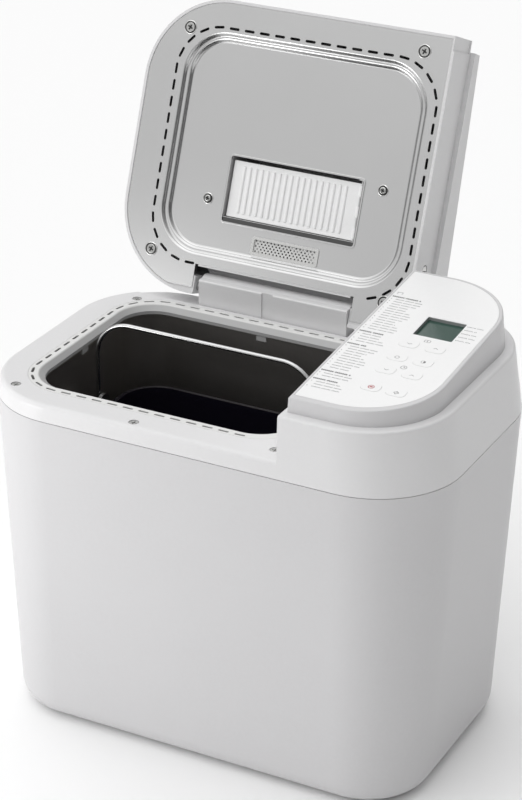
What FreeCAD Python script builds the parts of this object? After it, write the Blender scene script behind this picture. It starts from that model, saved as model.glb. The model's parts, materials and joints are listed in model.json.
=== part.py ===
"""Bread machine: white body, sloping control panel, hinged lid, oven chamber and lift-out pan.

Millimetres. X runs along the long side towards the control panel, Y runs back towards the hinge and
Z is up. The origin is the centre of the footprint, on the surface that the feet stand on. The lid is
modelled closed and then turned back to its open stop.
"""
import FreeCAD, Part
import math
import os

os.makedirs("parts", exist_ok=True)
V = FreeCAD.Vector

# ---- driving dimensions -------------------------------------------------------------------------
# A rounded rectangle is (half length, half width, corner radius).
SEAM = (194.5, 121.85, 70.6)        # body outline where the cover meets the tub
FOOT = (180.6, 110.1, 54.0)         # body outline at the bottom
LEDGE = (187.1, 120.4, 71.0)        # outer edge of the ledge round the top
PANEL_FOOT = (178.7, 111.2, 60.2)   # raised block where it stands on the ledge
PANEL_HEAD = (177.0, 107.5, 61.0)   # raised block at its highest level
SEAM_Z = 276.6
LEDGE_Z = 327.7
HEAD_Z = 362.0
DECK_Z = 291.0
TUB_Z = 1.2                         # underside of the tub
WALL = 2.8
BOTTOM_ROUND = 18.0
RELIEF_HALF, RELIEF_TOP, RELIEF_X = 56.0, 8.6, 175.5    # relief under each end of the tub
PANEL_X = 77.2                      # left wall of the panel block under the ledge
PANEL_STEP_X = 80.7                 # left wall of the panel block above the ledge
TILT = 0.088                        # rise of the panel per millimetre of depth
TILT_Y = -108.7
TILT_Z = 339.6

OVEN_X = -48.0                      # the oven's centre, on the long axis
MOUTH = (107.9, 84.3, 29.5)         # oven opening
SLOT_LOOP = (116.9, 94.7, 37.5)     # line of slots round the opening
CHAMBER = (109.5, 86.0, 31.0)       # chamber walls, inside
CHAMBER_LOW, CHAMBER_TOP = 60.0, 284.0
SHEET = 1.0
PAN_RIM = (93.5, 61.5, 31.0)
PAN_FLOOR = (86.0, 54.0, 26.0)
PAN_LOW, PAN_TOP = 90.0, 228.5
PAN_WALL = 1.2
RIM_R, RIM_OUT = 2.0, 3.4            # rolled rim: half its height, and how far it stands out
BAIL_HALF, BAIL_PIVOT_Z, BAIL_TOP_Z, BAIL_R, BAIL_CORNER = 97.8, 237.0, 311.6, 1.7, 30.0

HINGE_Y, HINGE_Z, LID_OPEN = 114.7, 301.8, 110.3
HINGE_LEFT, HINGE_RIGHT = -110.0, 25.4
TOWER_Y, TOWER_Z = 103.5, 312.6     # front face and top of the hinge tower
SCREW_SUNK = 2.0                    # depth of the deck's screw seats
SCREW_PROUD = 0.55                  # how far the lid plate's screw heads stand out
LID_LOW = 291.8                     # inner face of the closed lid's plate
PLATE = 0.8
LID_X = 76.2                        # right wall of the lid under the ledge
LID_STEP_X = 79.7                   # right wall of the lid above the ledge
LID_RISE = 2.0                      # the lid's top stands this much over the panel
LID_WALL = 2.4
LEDGE_GAP = 0.6                     # closed lid's step over the cover's ledge
DISH = (-158.0, 62.5, -95.1, 88.9)  # pressed dish in the lid plate: left, right, front, back
DISH_DEEP, DISH_R = 5.5, 38.0
DISH_STEPS = ((0.0, 0.0), (0.7, 0.2), (1.5, 0.9), (2.1, 1.9), (2.8, 2.6), (3.6, 2.8), (4.8, 2.85),
              (5.5, 3.1), (6.2, 3.8), (6.8, 4.7), (7.5, 5.3), (8.4, DISH_DEEP))   # inset and depth
HEM, HEM_PROUD = 1.6, 0.5           # hem round the plate's opening: width, and how far it stands
BOX = (-105.0, 19.0, 1.0, 59.4)     # dispenser box, outside
GRILLE = (-72.5, -11.5, 64.9, 79.9)
GRILLE_X, GRILLE_Y = 1.7, 1.3       # margins between the grille's frame and the plate's opening
HOLE_R, HOLE_DX, HOLE_DY = 0.75, 3.3, 2.2       # grille holes: radius and pitch
HOLE_ROWS, HOLE_COLUMNS = 5, 17
FLANGE_RIGHT = 4.6                  # width of the lid's inner flange on the right, from outside
FLAP_PIN = (14.6, LID_LOW + DISH_DEEP + 4.4)    # x and z of the flap's hinge pin
RIB_LEFT, RIB_PITCH, RIB_COUNT, RIB_R = -91.2, 5.45, 18, 1.6    # ribs of the flap
DOOR_PIN = (65.4, 357.6)            # y and z of the outer door's hinge pins
DOOR_LEAVES = (-92.0, -6.0)         # left ends of the outer door's knuckles
DOOR_PIN_R, DOOR_SUNK = 0.9, 1.2    # pin radius; depth of the door's seat in the lid's top
PLUNGER_Y, PLUNGER_Z = 27.0, 307.0
GLAND_X, GLAND_Z = 125.0, 38.0      # the mains lead's bush in the rear wall
HEATER_Z, HEATER_R = 92.0, 3.2
SENSOR_X, SENSOR_Z = -20.0, 140.0

SHAFT_R, MOTOR_X, PULLEY_R, MOTOR_PULLEY_R = 5.0, 128.0, 62.0, 11.0
RUN = 0.05                          # radial running clearance

KEYS = {"key_select_down": (127.5, -3.0), "key_select_up": (148.9, -3.0),
        "key_size": (128.0, -24.8), "key_crust": (148.9, -24.8),
        "key_timer_down": (128.0, -45.2), "key_timer_up": (149.2, -45.2),
        "key_stop": (129.0, -72.5), "key_start": (149.2, -72.5)}
KEY_W, KEY_D, KEY_ROUND, KEY_GAP, KEY_PROUD = 15.0, 11.0, 4.0, 0.15, 0.15
KEY_DEEP = 5.0
SHEET_INSET, SHEET_THICK = 2.6, 0.5  # printed sheet: edge to the panel's edge, and thickness
DISPLAY = (123.6, 155.4, 12.0, 41.8)


# ---- helpers ------------------------------------------------------------------------------------
def outline(size, z, cx=0.0, cy=0.0):
    """Closed wire of a rounded rectangle."""
    a, b, r = size
    edges = []
    for turn, (sx, sy) in enumerate(((1, 1), (-1, 1), (-1, -1), (1, -1))):
        centre = V(cx + sx * (a - r), cy + sy * (b - r), z)
        start = math.radians(90 * turn)
        ends = [centre + V(r * math.cos(start + t), r * math.sin(start + t), 0)
                for t in (0, math.pi / 4, math.pi / 2)]
        edges.append(Part.Arc(*ends).toShape())
    full = []
    for i, edge in enumerate(edges):
        after = edges[(i + 1) % 4]
        full.append(edge)
        full.append(Part.LineSegment(edge.Vertexes[-1].Point, after.Vertexes[0].Point).toShape())
    return Part.Wire(full)


def taper(low, z0, high, z1, cx=0.0, cy=0.0):
    """Solid between two rounded rectangles."""
    return Part.makeLoft([outline(low, z0, cx, cy), outline(high, z1, cx, cy)], True, True)


def slab(size, z0, z1, cx=0.0, cy=0.0):
    """Straight block with a rounded rectangle as its plan."""
    return Part.Face(outline(size, z0, cx, cy)).extrude(V(0, 0, z1 - z0))


def grown(size, by):
    """A rounded rectangle offset outwards by a distance."""
    return tuple(v + by for v in size)


def between(low, high, t):
    """A rounded rectangle part of the way from one to another."""
    return tuple(p + (q - p) * t for p, q in zip(low, high))


def block(x0, x1, y0, y1, z0, z1):
    return Part.makeBox(x1 - x0, y1 - y0, z1 - z0, V(x0, y0, z0))


def rounded_block(x0, x1, y0, y1, z0, z1, r):
    return slab(((x1 - x0) / 2, (y1 - y0) / 2, r), z0, z1, (x0 + x1) / 2, (y0 + y1) / 2)


def post(x, y, z0, z1, r):
    return Part.makeCylinder(r, z1 - z0, V(x, y, z0))


def rod(start, end, r):
    return Part.makeCylinder(r, (end - start).Length, start, end - start)


def tube(x, y, z0, z1, outer, inner):
    return post(x, y, z0, z1, outer).cut(post(x, y, z0 - 1, z1 + 1, inner))


def joined(shapes):
    first = shapes[0]
    return first.fuse(shapes[1:]).removeSplitter() if len(shapes) > 1 else first


def bent_rod(points, radii, r):
    """Round rod along straight runs joined by tangent arcs."""
    edges = []
    at = points[0]
    for i in range(1, len(points) - 1):
        corner = points[i]
        back = (points[i - 1] - corner).normalize()
        ahead = (points[i + 1] - corner).normalize()
        half = back.getAngle(ahead) / 2
        reach = radii[i - 1] / math.tan(half)
        start, end = corner + back * reach, corner + ahead * reach
        middle_way = (back + ahead).normalize()
        middle = corner + middle_way * (radii[i - 1] / math.sin(half) - radii[i - 1])
        if (start - at).Length > 1e-6:
            edges.append(Part.LineSegment(at, start).toShape())
        edges.append(Part.Arc(start, middle, end).toShape())
        at = end
    edges.append(Part.LineSegment(at, points[-1]).toShape())
    path = Part.Wire(edges)
    ring = Part.Wire([Part.Circle(points[0], points[1] - points[0], r).toShape()])
    return path.makePipeShell([ring], True, True)


def panel_z(y, lift=0.0):
    """Height of the sloping panel at a depth."""
    return TILT_Z + TILT * (y - TILT_Y) + lift


def above_panel(lift=0.0):
    """Everything over the sloping panel plane."""
    profile = [V(-300, -300, panel_z(-300, lift)), V(-300, 300, panel_z(300, lift)),
               V(-300, 300, 600), V(-300, -300, 600)]
    return Part.Face(Part.makePolygon(profile + profile[:1])).extrude(V(600, 0, 0))


def panel_layer(shape, low, high):
    """The part of an upright solid between two levels parallel to the panel."""
    return shape.cut(above_panel(high)).common(above_panel(low))


def key_shape(x, y, low, high, spare=0.0):
    """Rounded pad that stands on the sloping panel plane."""
    pad = slab((KEY_W / 2 + spare, KEY_D / 2 + spare, KEY_ROUND + spare), 300, 400, x, y)
    return panel_layer(pad, low, high)


def opened(shape):
    """Turn a closed-lid shape back to the open stop."""
    turned = shape.copy()
    turned.rotate(V(0, HINGE_Y, HINGE_Z), V(1, 0, 0), -LID_OPEN)
    return turned


def loop_points(size, pitch, cx=0.0, cy=0.0):
    """Evenly spaced places with directions along a rounded rectangle."""
    path = outline(size, 0, cx, cy)
    count = round(path.Length / pitch)
    step = path.Length / count
    places = []
    for edge in path.OrderedEdges:
        places.append((edge, edge.Length))
    found, run, at = [], 0.0, step / 2
    for edge, length in places:
        while at < run + length:
            t = edge.getParameterByLength(at - run)
            found.append((edge.valueAt(t), edge.tangentAt(t)))
            at += step
        run += length
    return found


def slots(places, z0, z1, length, width):
    """Round-ended slots along a line of places."""
    made = []
    for point, way in places:
        slot = slab((length / 2, width / 2, width / 2 - 0.01), z0, z1)
        slot.rotate(V(0, 0, 0), V(0, 0, 1), math.degrees(math.atan2(way.y, way.x)))
        slot.translate(V(point.x, point.y, 0))
        made.append(slot)
    return Part.makeCompound(made)


def top_edges(shape, test):
    return [e for e in shape.Edges if all(test(v.Point) for v in e.Vertexes)
            and test(e.valueAt((e.FirstParameter + e.LastParameter) / 2))]


def softened(shape, edges, radius):
    """Fillet edges, from the wanted radius down to one that the corner takes."""
    for share in (1.0, 0.8, 0.6, 0.4):
        try:
            done = shape.makeFillet(radius * share, edges)
            if done.isValid() and done.Volume > 0:
                return done
        except Part.OCCError:
            pass
    raise RuntimeError("an edge round can't be made")


# ---- body ---------------------------------------------------------------------------------------
def body_size(z):
    """Outline of the tub at a height."""
    return between(FOOT, SEAM, z / SEAM_Z)


def lower_body():
    """Tapered tub with a rolled bottom edge, a raised arch at each end and a window for the base."""
    top = SEAM_Z - 0.3
    outer = taper(body_size(TUB_Z), TUB_Z, body_size(top), top)
    outer = softened(outer, top_edges(outer, lambda p: abs(p.z - TUB_Z) < 1e-3), BOTTOM_ROUND)
    floor = TUB_Z + WALL
    inner = taper(grown(body_size(floor), -WALL), floor, grown(body_size(top + 4), -WALL), top + 4)
    inner = softened(inner, top_edges(inner, lambda p: abs(p.z - floor) < 1e-3), BOTTOM_ROUND - WALL)
    tub = outer.cut(inner).cut(slab((120, 62, 14), -5, 20))
    for side in (-1, 1):
        relief = rounded_block(-RELIEF_HALF, RELIEF_HALF, -RELIEF_TOP, RELIEF_TOP, 0, 90, 3.0)
        relief.rotate(V(0, 0, 0), V(1, 0, 0), 90)
        relief.rotate(V(0, 0, 0), V(0, 0, 1), 90 * side)
        relief.translate(V(side * RELIEF_X, 0, 0))
        tub = tub.cut(relief)
    for x, y in foot_places():
        tub = tub.cut(post(x, y, -1, 3.0, 10.3))
    return tub.cut(rod(V(GLAND_X, 80, GLAND_Z), V(GLAND_X, 140, GLAND_Z), 7.0))


def foot_places():
    return [(sx * 140, sy * 72) for sx in (-1, 1) for sy in (-1, 1)]


def feet():
    """Four rubber feet in pockets of the tub."""
    made = []
    for x, y in foot_places():
        foot = post(x, y, 0, 3.0, 10.0)
        made.append(softened(foot, top_edges(foot, lambda p: abs(p.z) < 1e-3), 0.6))
    return Part.makeCompound(made)


def base_plate():
    """Steel plate on the tub's floor, with rows of vents."""
    plate = slab((150, 84, 26), 4.0, 6.0)
    vents = [rounded_block(x, x + 4, -24, 24, 3, 7, 1.9) for x in range(-100, 101, 12)]
    plate = plate.cut(Part.makeCompound(vents))
    return plate.cut(Part.makeCompound([post(x, y, 3, 7, 2.2) for x, y in base_screw_places()]))


def base_screw_places():
    return [(sx * 132, sy * 48) for sx in (-1, 1) for sy in (-1, 1)]


def base_screws():
    """Screws that hold the base plate to the tub."""
    return [joined([post(x, y, 6.0, 8.0, 4.0), post(x, y, 4.0, 6.5, 2.0)])
            for x, y in base_screw_places()]


def cord_gland():
    """Bush in the rear wall where the mains lead would come out."""
    flange = rod(V(GLAND_X, 108, GLAND_Z), V(GLAND_X, 115, GLAND_Z), 9.5)
    flange = flange.cut(taper(FOOT, 0, SEAM, SEAM_Z))
    sleeve = rod(V(GLAND_X, 100, GLAND_Z), V(GLAND_X, 114, GLAND_Z), 6.9)
    bush = joined([flange, sleeve])
    return bush.cut(rod(V(GLAND_X, 90, GLAND_Z), V(GLAND_X, 120, GLAND_Z), 3.6))


def cover_size(z):
    """Outline of the cover and of the lid's skirt at a height."""
    return between(SEAM, LEDGE, (z - SEAM_Z) / (LEDGE_Z - SEAM_Z))


def cover_outer():
    """Full height outside of the cover, still under the whole top."""
    return taper(cover_size(SEAM_Z + 0.3), SEAM_Z + 0.3, LEDGE, LEDGE_Z)


def hump():
    """Hinge tower on the rear deck: a barrel behind a flat front, with a shallow channel down it."""
    barrel = rod(V(HINGE_LEFT, HINGE_Y, HINGE_Z), V(HINGE_RIGHT, HINGE_Y, HINGE_Z), 12.0)
    foot = block(HINGE_LEFT, HINGE_RIGHT, TOWER_Y, 119.5, DECK_Z - 3.5, HINGE_Z)
    front = block(HINGE_LEFT, HINGE_RIGHT, TOWER_Y, HINGE_Y + 4, HINGE_Z, TOWER_Z)
    front = softened(front, top_edges(front, lambda p: abs(p.y - TOWER_Y) < 1e-3
                                      and abs(p.z - TOWER_Z) < 1e-3), 1.5)
    tower = joined([barrel, foot, front]).cut(block(-200, 200, 90, TOWER_Y, 280, 330))
    tower = tower.cut(block(-51.8, -41.5, 100, TOWER_Y + 1.2, 280, 330))
    for x0, x1 in ((HINGE_LEFT - 1, HINGE_LEFT + 14), (HINGE_RIGHT - 14, HINGE_RIGHT + 1)):
        tower = tower.cut(rod(V(x0, HINGE_Y, HINGE_Z), V(x1, HINGE_Y, HINGE_Z), 4.0))
    return tower


def top_cover():
    """Deck, panel block up to the ledge and hinge tower in one moulding."""
    outer = cover_outer()
    outer = softened(outer, top_edges(outer, lambda p: abs(p.z - LEDGE_Z) < 1e-3), 2.2)
    left_top = block(-300, PANEL_X, -300, 300, DECK_Z, 400)
    outer = outer.cut(left_top)
    rim = [e for e in top_edges(outer, lambda p: abs(p.z - DECK_Z) < 1e-3)
           if e.BoundBox.XMax < PANEL_X + 1 and e.BoundBox.XMin < PANEL_X - 1]
    outer = softened(outer, rim, 4.0)
    roof = DECK_Z - WALL
    low = SEAM_Z - 4
    inside = taper(grown(cover_size(low), -WALL), low, grown(cover_size(roof), -WALL), roof)
    high = taper(grown(cover_size(low), -WALL), low, grown(LEDGE, -WALL), LEDGE_Z - WALL)
    inside = inside.fuse(high.common(block(PANEL_X + WALL, 300, -300, 300, 200, 400)))
    cover = outer.cut(inside)
    lip = taper(grown(body_size(268), -WALL - 0.4), 268, grown(cover_size(SEAM_Z + 2), -WALL - 0.4),
                SEAM_Z + 2)
    lip = lip.cut(taper(grown(body_size(267), -WALL - 2.2), 267,
                        grown(cover_size(SEAM_Z + 3), -WALL - 2.2), SEAM_Z + 3))
    shelf = slab(grown(SEAM, -1.4), SEAM_Z - 0.3, SEAM_Z + 1.5)
    shelf = shelf.cut(slab(grown(SEAM, -WALL - 1.2), SEAM_Z - 3, SEAM_Z + 5))
    seat = slab(ring_size(125.0), CHAMBER_TOP, DECK_Z - 1.0, OVEN_X)
    seat = seat.common(block(-300, PANEL_X + 1, -300, 300, 200, 400))
    cover = joined([cover, lip, shelf, seat])
    cover = cover.cut(slab(ring_size(118.4), 250, 300, OVEN_X))
    cover = cover.cut(slab(ring_size(120.4), DECK_Z - WALL, 300, OVEN_X))
    under = block(-150, PANEL_X, 99.3, 125, DECK_Z - 5.0, DECK_Z - 2.0).common(cover_outer())
    cover = joined([cover, under])
    trough = block(-200, PANEL_X - 0.6, 101.6, 140, DECK_Z - 2.2, 400)
    cover = joined([cover.cut(trough), hump()])
    socket = slab(grown(PANEL_FOOT, -2.9), 300, 340).common(block(83.4, 300, -200, 200, 250, 400))
    cover = cover.cut(socket)
    for x, y in deck_screw_places():
        cover = cover.cut(post(x, y, 270, 300, 1.6)).cut(post(x, y, DECK_Z - SCREW_SUNK, 300, 4.1))
    return cover


def ring_size(half):
    """Oven ring outline with a given half length."""
    return grown(SLOT_LOOP, half - SLOT_LOOP[0])


def deck_screw_places():
    return [(-160.4, -98.7), (-46.8, -113.6), (67.3, -104.0), (-160.3, 88.9)]


def deck_screws():
    """Screws sunk in the deck."""
    made = []
    low, high = DECK_Z - SCREW_SUNK, DECK_Z - 0.5
    for x, y in deck_screw_places():
        head = post(x, y, low, high, 3.6)
        head = head.cut(block(x - 2.4, x + 2.4, y - 0.4, y + 0.4, high - 0.8, high + 1))
        head = head.cut(block(x - 0.4, x + 0.4, y - 2.4, y + 2.4, high - 0.8, high + 1))
        made.append(joined([head, post(x, y, low - 9, low + 0.2, 1.6)]))
    return made


def body_screws():
    """All the body's screws."""
    return Part.makeCompound(deck_screws() + base_screws())


def oven_ring():
    """Light ring round the opening: slotted rim, sloping step and a short inner lip."""
    step_low = DECK_Z - 4.0
    flat = slab(ring_size(120.2), DECK_Z - WALL, DECK_Z, OVEN_X)
    slope = taper(grown(MOUTH, 1.6), step_low - 1.2, ring_size(114.0), DECK_Z - 1.0, OVEN_X)
    lip = slab(grown(MOUTH, 1.5), CHAMBER_TOP + 0.2, step_low, OVEN_X)
    body = joined([flat, slope, lip])
    body = body.cut(slab(MOUTH, 250, 300, OVEN_X))
    body = body.cut(taper(MOUTH, step_low, ring_size(112.5), DECK_Z + 0.001, OVEN_X))
    places = [(p, w) for p, w in loop_points(SLOT_LOOP, 13.8, OVEN_X) if p.x < 44]
    return body.cut(slots(places, 270, 300, 9.0, 2.2))


def ring_clips():
    """Four snap tabs of the ring that show on the chamber walls."""
    low, high = 279.0, 283.6
    tabs = [block(OVEN_X - 109.4, OVEN_X - 108.6, -6, 3, low, high),
            block(OVEN_X + 108.6, OVEN_X + 109.4, -3, 6, low, high),
            block(-46.5, -37.5, 85.1, 85.9, low, high),
            block(-58, -49, -85.9, -85.1, low, high)]
    return Part.makeCompound(tabs)


# ---- oven ---------------------------------------------------------------------------------------
def oven_chamber():
    """Sheet steel box with a flange at its mouth."""
    shell = slab(grown(CHAMBER, SHEET), CHAMBER_LOW, CHAMBER_TOP, OVEN_X)
    flange = slab(ring_size(121.0), CHAMBER_TOP - SHEET, CHAMBER_TOP, OVEN_X)
    shell = joined([shell, flange]).cut(slab(CHAMBER, CHAMBER_LOW + SHEET, 300, OVEN_X))
    shell = shell.cut(post(OVEN_X, 0, 50, 70, 14.6))
    for y in (-12, 12):
        shell = shell.cut(rod(V(50, y, HEATER_Z), V(90, y, HEATER_Z), 4.6))
    return shell.cut(rod(V(SENSOR_X, 70, SENSOR_Z), V(SENSOR_X, 100, SENSOR_Z), 2.6))


def heat_shield():
    """Outer jacket that keeps the oven's heat from the plastic walls."""
    size = grown(CHAMBER, 7.5)
    jacket = slab(size, 52, 270, OVEN_X).cut(slab(grown(size, -0.6), 50, 280, OVEN_X))
    jacket = jacket.cut(rod(V(40, -12, HEATER_Z), V(90, -12, HEATER_Z), 4.6))
    jacket = jacket.cut(rod(V(40, 12, HEATER_Z), V(90, 12, HEATER_Z), 4.6))
    return jacket.cut(rod(V(SENSOR_X, 86, SENSOR_Z), V(SENSOR_X, 110, SENSOR_Z), 4.0))


def heater_element():
    """Tubular heater bent round the chamber, with both ends through its right wall."""
    a, b, r = 101.0, 77.0, 28.0
    right, left = OVEN_X + a, OVEN_X - a
    route = [V(78, -12, HEATER_Z), V(right, -12, HEATER_Z), V(right, -b, HEATER_Z),
             V(left, -b, HEATER_Z), V(left, b, HEATER_Z), V(right, b, HEATER_Z),
             V(right, 12, HEATER_Z), V(78, 12, HEATER_Z)]
    return bent_rod(route, [6, r, r, r, r, 6], HEATER_R)


def heater_brackets():
    """Four posts on the chamber floor that carry the heater."""
    carry = []
    for x, y in ((OVEN_X - 50, -77), (OVEN_X + 50, -77), (OVEN_X - 50, 77), (OVEN_X + 50, 77)):
        leg = block(x - 4, x + 4, y - 5, y + 5, CHAMBER_LOW + SHEET, HEATER_Z + 1)
        carry.append(leg.cut(rod(V(x - 9, y, HEATER_Z), V(x + 9, y, HEATER_Z), HEATER_R + 0.05)))
    return carry


def heater_bushes():
    """Ceramic bushes round the heater's ends."""
    right = OVEN_X + CHAMBER[0]
    return [rod(V(right - 1.5, y, HEATER_Z), V(right + 11, y, HEATER_Z), 4.5).cut(
            rod(V(40, y, HEATER_Z), V(95, y, HEATER_Z), HEATER_R + 0.05)) for y in (-12, 12)]


def heater_supports():
    """Posts and bushes that hold the heater."""
    return Part.makeCompound(heater_brackets() + heater_bushes())


def temperature_sensor():
    """Probe through the chamber's rear wall."""
    stem = rod(V(SENSOR_X, 79, SENSOR_Z), V(SENSOR_X, 98, SENSOR_Z), 2.5)
    collar = rod(V(SENSOR_X, 87.05, SENSOR_Z), V(SENSOR_X, 89, SENSOR_Z), 3.8)
    return joined([stem, collar])


def pan_socket():
    """Ring on the chamber floor that the pan's foot drops into."""
    floor = CHAMBER_LOW + SHEET
    plate = post(OVEN_X, 0, floor, floor + 4, 48.0)
    wall = post(OVEN_X, 0, floor, floor + 13, 46.0).cut(post(OVEN_X, 0, floor + 4, 90, 42.3))
    return joined([plate, wall]).cut(post(OVEN_X, 0, 50, 80, 16.5)).cut(post(OVEN_X, 0, 65, 90, 42.3))


# ---- chassis and drive --------------------------------------------------------------------------
def chassis():
    """Steel plate under the oven, with an upright wing beside the electronics."""
    plate = joined([slab((162, 82, 20), 44, 46), block(80, 81.4, -76, 76, 45, 266)])
    plate = plate.cut(post(OVEN_X, 0, 40, 50, 14.1)).cut(post(MOTOR_X, 0, 40, 50, 12))
    for x, y in motor_bolts():
        plate = plate.cut(post(x, y, 40, 50, 3.1))
    return plate


def leg_places():
    return [(sx * 128, sy * 66) for sx in (-1, 1) for sy in (-1, 1)]


def chassis_legs():
    """Pillars between the base plate and the chassis."""
    return [post(x, y, 6, 44, 6) for x, y in leg_places()]


def chamber_posts():
    """Short pillars between the chassis and the chamber."""
    return [post(OVEN_X + sx * 80, sy * 58, 46, CHAMBER_LOW, 5)
            for sx in (-1, 1) for sy in (-1, 1)]


def pillars():
    """All the pillars: legs, chamber posts and the boards' standoffs."""
    return Part.makeCompound(chassis_legs() + chamber_posts() + control_board_posts()
                             + board_standoffs())


def motor_bolts():
    return [(MOTOR_X + 28 * sx, 22 * sy) for sx in (-1, 1) for sy in (-1, 1)]


def bearing_housing():
    """Tube in the chassis that holds both shaft bushes."""
    body = joined([post(OVEN_X, 0, 31, 63, 14.0), post(OVEN_X, 0, 46, 49, 26.0)])
    return body.cut(post(OVEN_X, 0, 20, 80, 9.0))


def shaft_bushes():
    """Two plain bushes."""
    return Part.makeCompound([tube(OVEN_X, 0, z, z + 10, 8.98, SHAFT_R + RUN) for z in (32, 52)])


def drive_shaft():
    """Vertical shaft from the big pulley to the coupler."""
    return post(OVEN_X, 0, 12, 67, SHAFT_R)


def pulley(x, radius, z0, z1, bore, spokes=0):
    """Flat belt pulley with two flanges and lightening holes."""
    rim = post(x, 0, z0, z1, radius)
    rim = rim.fuse([post(x, 0, z0 - 1, z0, radius + 1.6), post(x, 0, z1, z1 + 1, radius + 1.6)])
    rim = rim.removeSplitter()
    for i in range(spokes):
        angle = 2 * math.pi * i / spokes
        hole = post(x + 0.6 * radius * math.cos(angle), 0.6 * radius * math.sin(angle),
                    z0 - 2, z1 + 2, 0.22 * radius)
        rim = rim.cut(hole)
    return rim.cut(post(x, 0, z0 - 5, z1 + 5, bore))


def drive_belt():
    """Flat belt round both pulleys, just clear of them."""
    gap, thick, low, high = 0.2, 1.2, 17.6, 24.4
    big, small = PULLEY_R + gap, MOTOR_PULLEY_R + gap
    span = MOTOR_X - OVEN_X
    lean = math.acos((big - small) / span)

    def loop(extra):
        r1, r2 = big + extra, small + extra
        cos, sin = math.cos(lean), math.sin(lean)
        p1, p2 = V(OVEN_X + r1 * cos, r1 * sin, low), V(MOTOR_X + r2 * cos, r2 * sin, low)
        p3, p4 = V(MOTOR_X + r2 * cos, -r2 * sin, low), V(OVEN_X + r1 * cos, -r1 * sin, low)
        wire = Part.Wire([Part.LineSegment(p1, p2).toShape(),
                          Part.Arc(p2, V(MOTOR_X + r2, 0, low), p3).toShape(),
                          Part.LineSegment(p3, p4).toShape(),
                          Part.Arc(p4, V(OVEN_X - r1, 0, low), p1).toShape()])
        return Part.Face(wire).extrude(V(0, 0, high - low))
    return loop(thick).cut(loop(0))


def dogs(disc_low, disc_high, dog_low, dog_high, turn):
    """Disc with two driving dogs."""
    made = [post(OVEN_X, 0, disc_low, disc_high, 14.0)]
    for side in (-1, 1):
        dog = block(OVEN_X + min(side * 6, side * 13), OVEN_X + max(side * 6, side * 13),
                    -3.5, 3.5, dog_low, dog_high)
        dog.rotate(V(OVEN_X, 0, 0), V(0, 0, 1), turn)
        made.append(dog)
    return joined(made)


def drive_coupler():
    """Lower half of the coupling, fixed on the drive shaft."""
    return dogs(67, 71, 70.5, 79, 0)


def motor():
    """Induction motor with its flange, bored for the shaft."""
    body = post(MOTOR_X, 0, 53, 128, 34)
    body = softened(body, top_edges(body, lambda p: abs(p.z - 128) < 1e-3), 4.0)
    flange = rounded_block(MOTOR_X - 36, MOTOR_X + 36, -30, 30, 50, 53, 6)
    cap = post(MOTOR_X, 0, 120, 134, 12)
    return joined([body, flange, cap]).cut(post(MOTOR_X, 0, 40, 118, 4.0 + RUN))


def motor_mounts():
    """Rubber grommets between the motor's flange and the chassis."""
    return Part.makeCompound([joined([post(x, y, 46, 50, 6), post(x, y, 42.5, 47, 3.0)])
                              for x, y in motor_bolts()])


def motor_shaft():
    return post(MOTOR_X, 0, 13, 116, 4.0)


# ---- pan ----------------------------------------------------------------------------------------
def pan_size(z):
    """Outline of the pan at a height."""
    return between(PAN_FLOOR, PAN_RIM, (z - PAN_LOW) / (PAN_TOP - PAN_LOW))


def bread_pan():
    """Deep drawn pan with a rolled rim and a hub for the shaft seal."""
    outer = taper(PAN_FLOOR, PAN_LOW, PAN_RIM, PAN_TOP, OVEN_X)
    outer = softened(outer, top_edges(outer, lambda p: abs(p.z - PAN_LOW) < 1e-3), 9.0)
    rim_low, rim_high = PAN_TOP - RIM_R, PAN_TOP + RIM_R
    rim = slab(grown(PAN_RIM, RIM_OUT), rim_low, rim_high, OVEN_X)
    rim = softened(rim, top_edges(rim, lambda p: abs(p.z - PAN_TOP) > RIM_R - 1e-3), RIM_R - 0.2)
    floor, over = PAN_LOW + PAN_WALL, PAN_TOP + 5
    inner = taper(grown(PAN_FLOOR, -PAN_WALL), floor, grown(pan_size(over), -PAN_WALL), over, OVEN_X)
    inner = softened(inner, top_edges(inner, lambda p: abs(p.z - floor) < 1e-3), 7.8)
    pan = joined([outer, rim]).cut(inner)
    pan = joined([pan, post(OVEN_X, 0, PAN_LOW - 4, PAN_LOW + 8, 12)])
    return pan.cut(post(OVEN_X, 0, 80, 120, 8.0))


def pan_base():
    """Foot ring under the pan."""
    ring = tube(OVEN_X, 0, 65, PAN_LOW, 42.0, 38.5)
    web = tube(OVEN_X, 0, PAN_LOW - 3, PAN_LOW, 40.0, 12.0)
    lugs = [block(OVEN_X - 46 if s < 0 else OVEN_X + 41, OVEN_X - 41 if s < 0 else OVEN_X + 46,
                  -6, 6, 76, 80) for s in (-1, 1)]
    return joined([ring, web] + lugs)


def pan_shaft_seal():
    """Bush and seal in the pan's hub."""
    return tube(OVEN_X, 0, PAN_LOW - 4, PAN_LOW + 12, 7.98, 4.0 + RUN)


def pan_shaft():
    """Shaft through the pan's floor, with a flat for the blade."""
    return post(OVEN_X, 0, 80, 132, 4.0).cut(block(OVEN_X + 2.8, OVEN_X + 6, -6, 6, 104, 140))


def pan_coupler():
    """Upper half of the coupling, fixed on the pan shaft."""
    return dogs(79.5, 83.5, 71.5, 80, 90).cut(post(OVEN_X, 0, 79.6, 90, 4.0))


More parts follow.
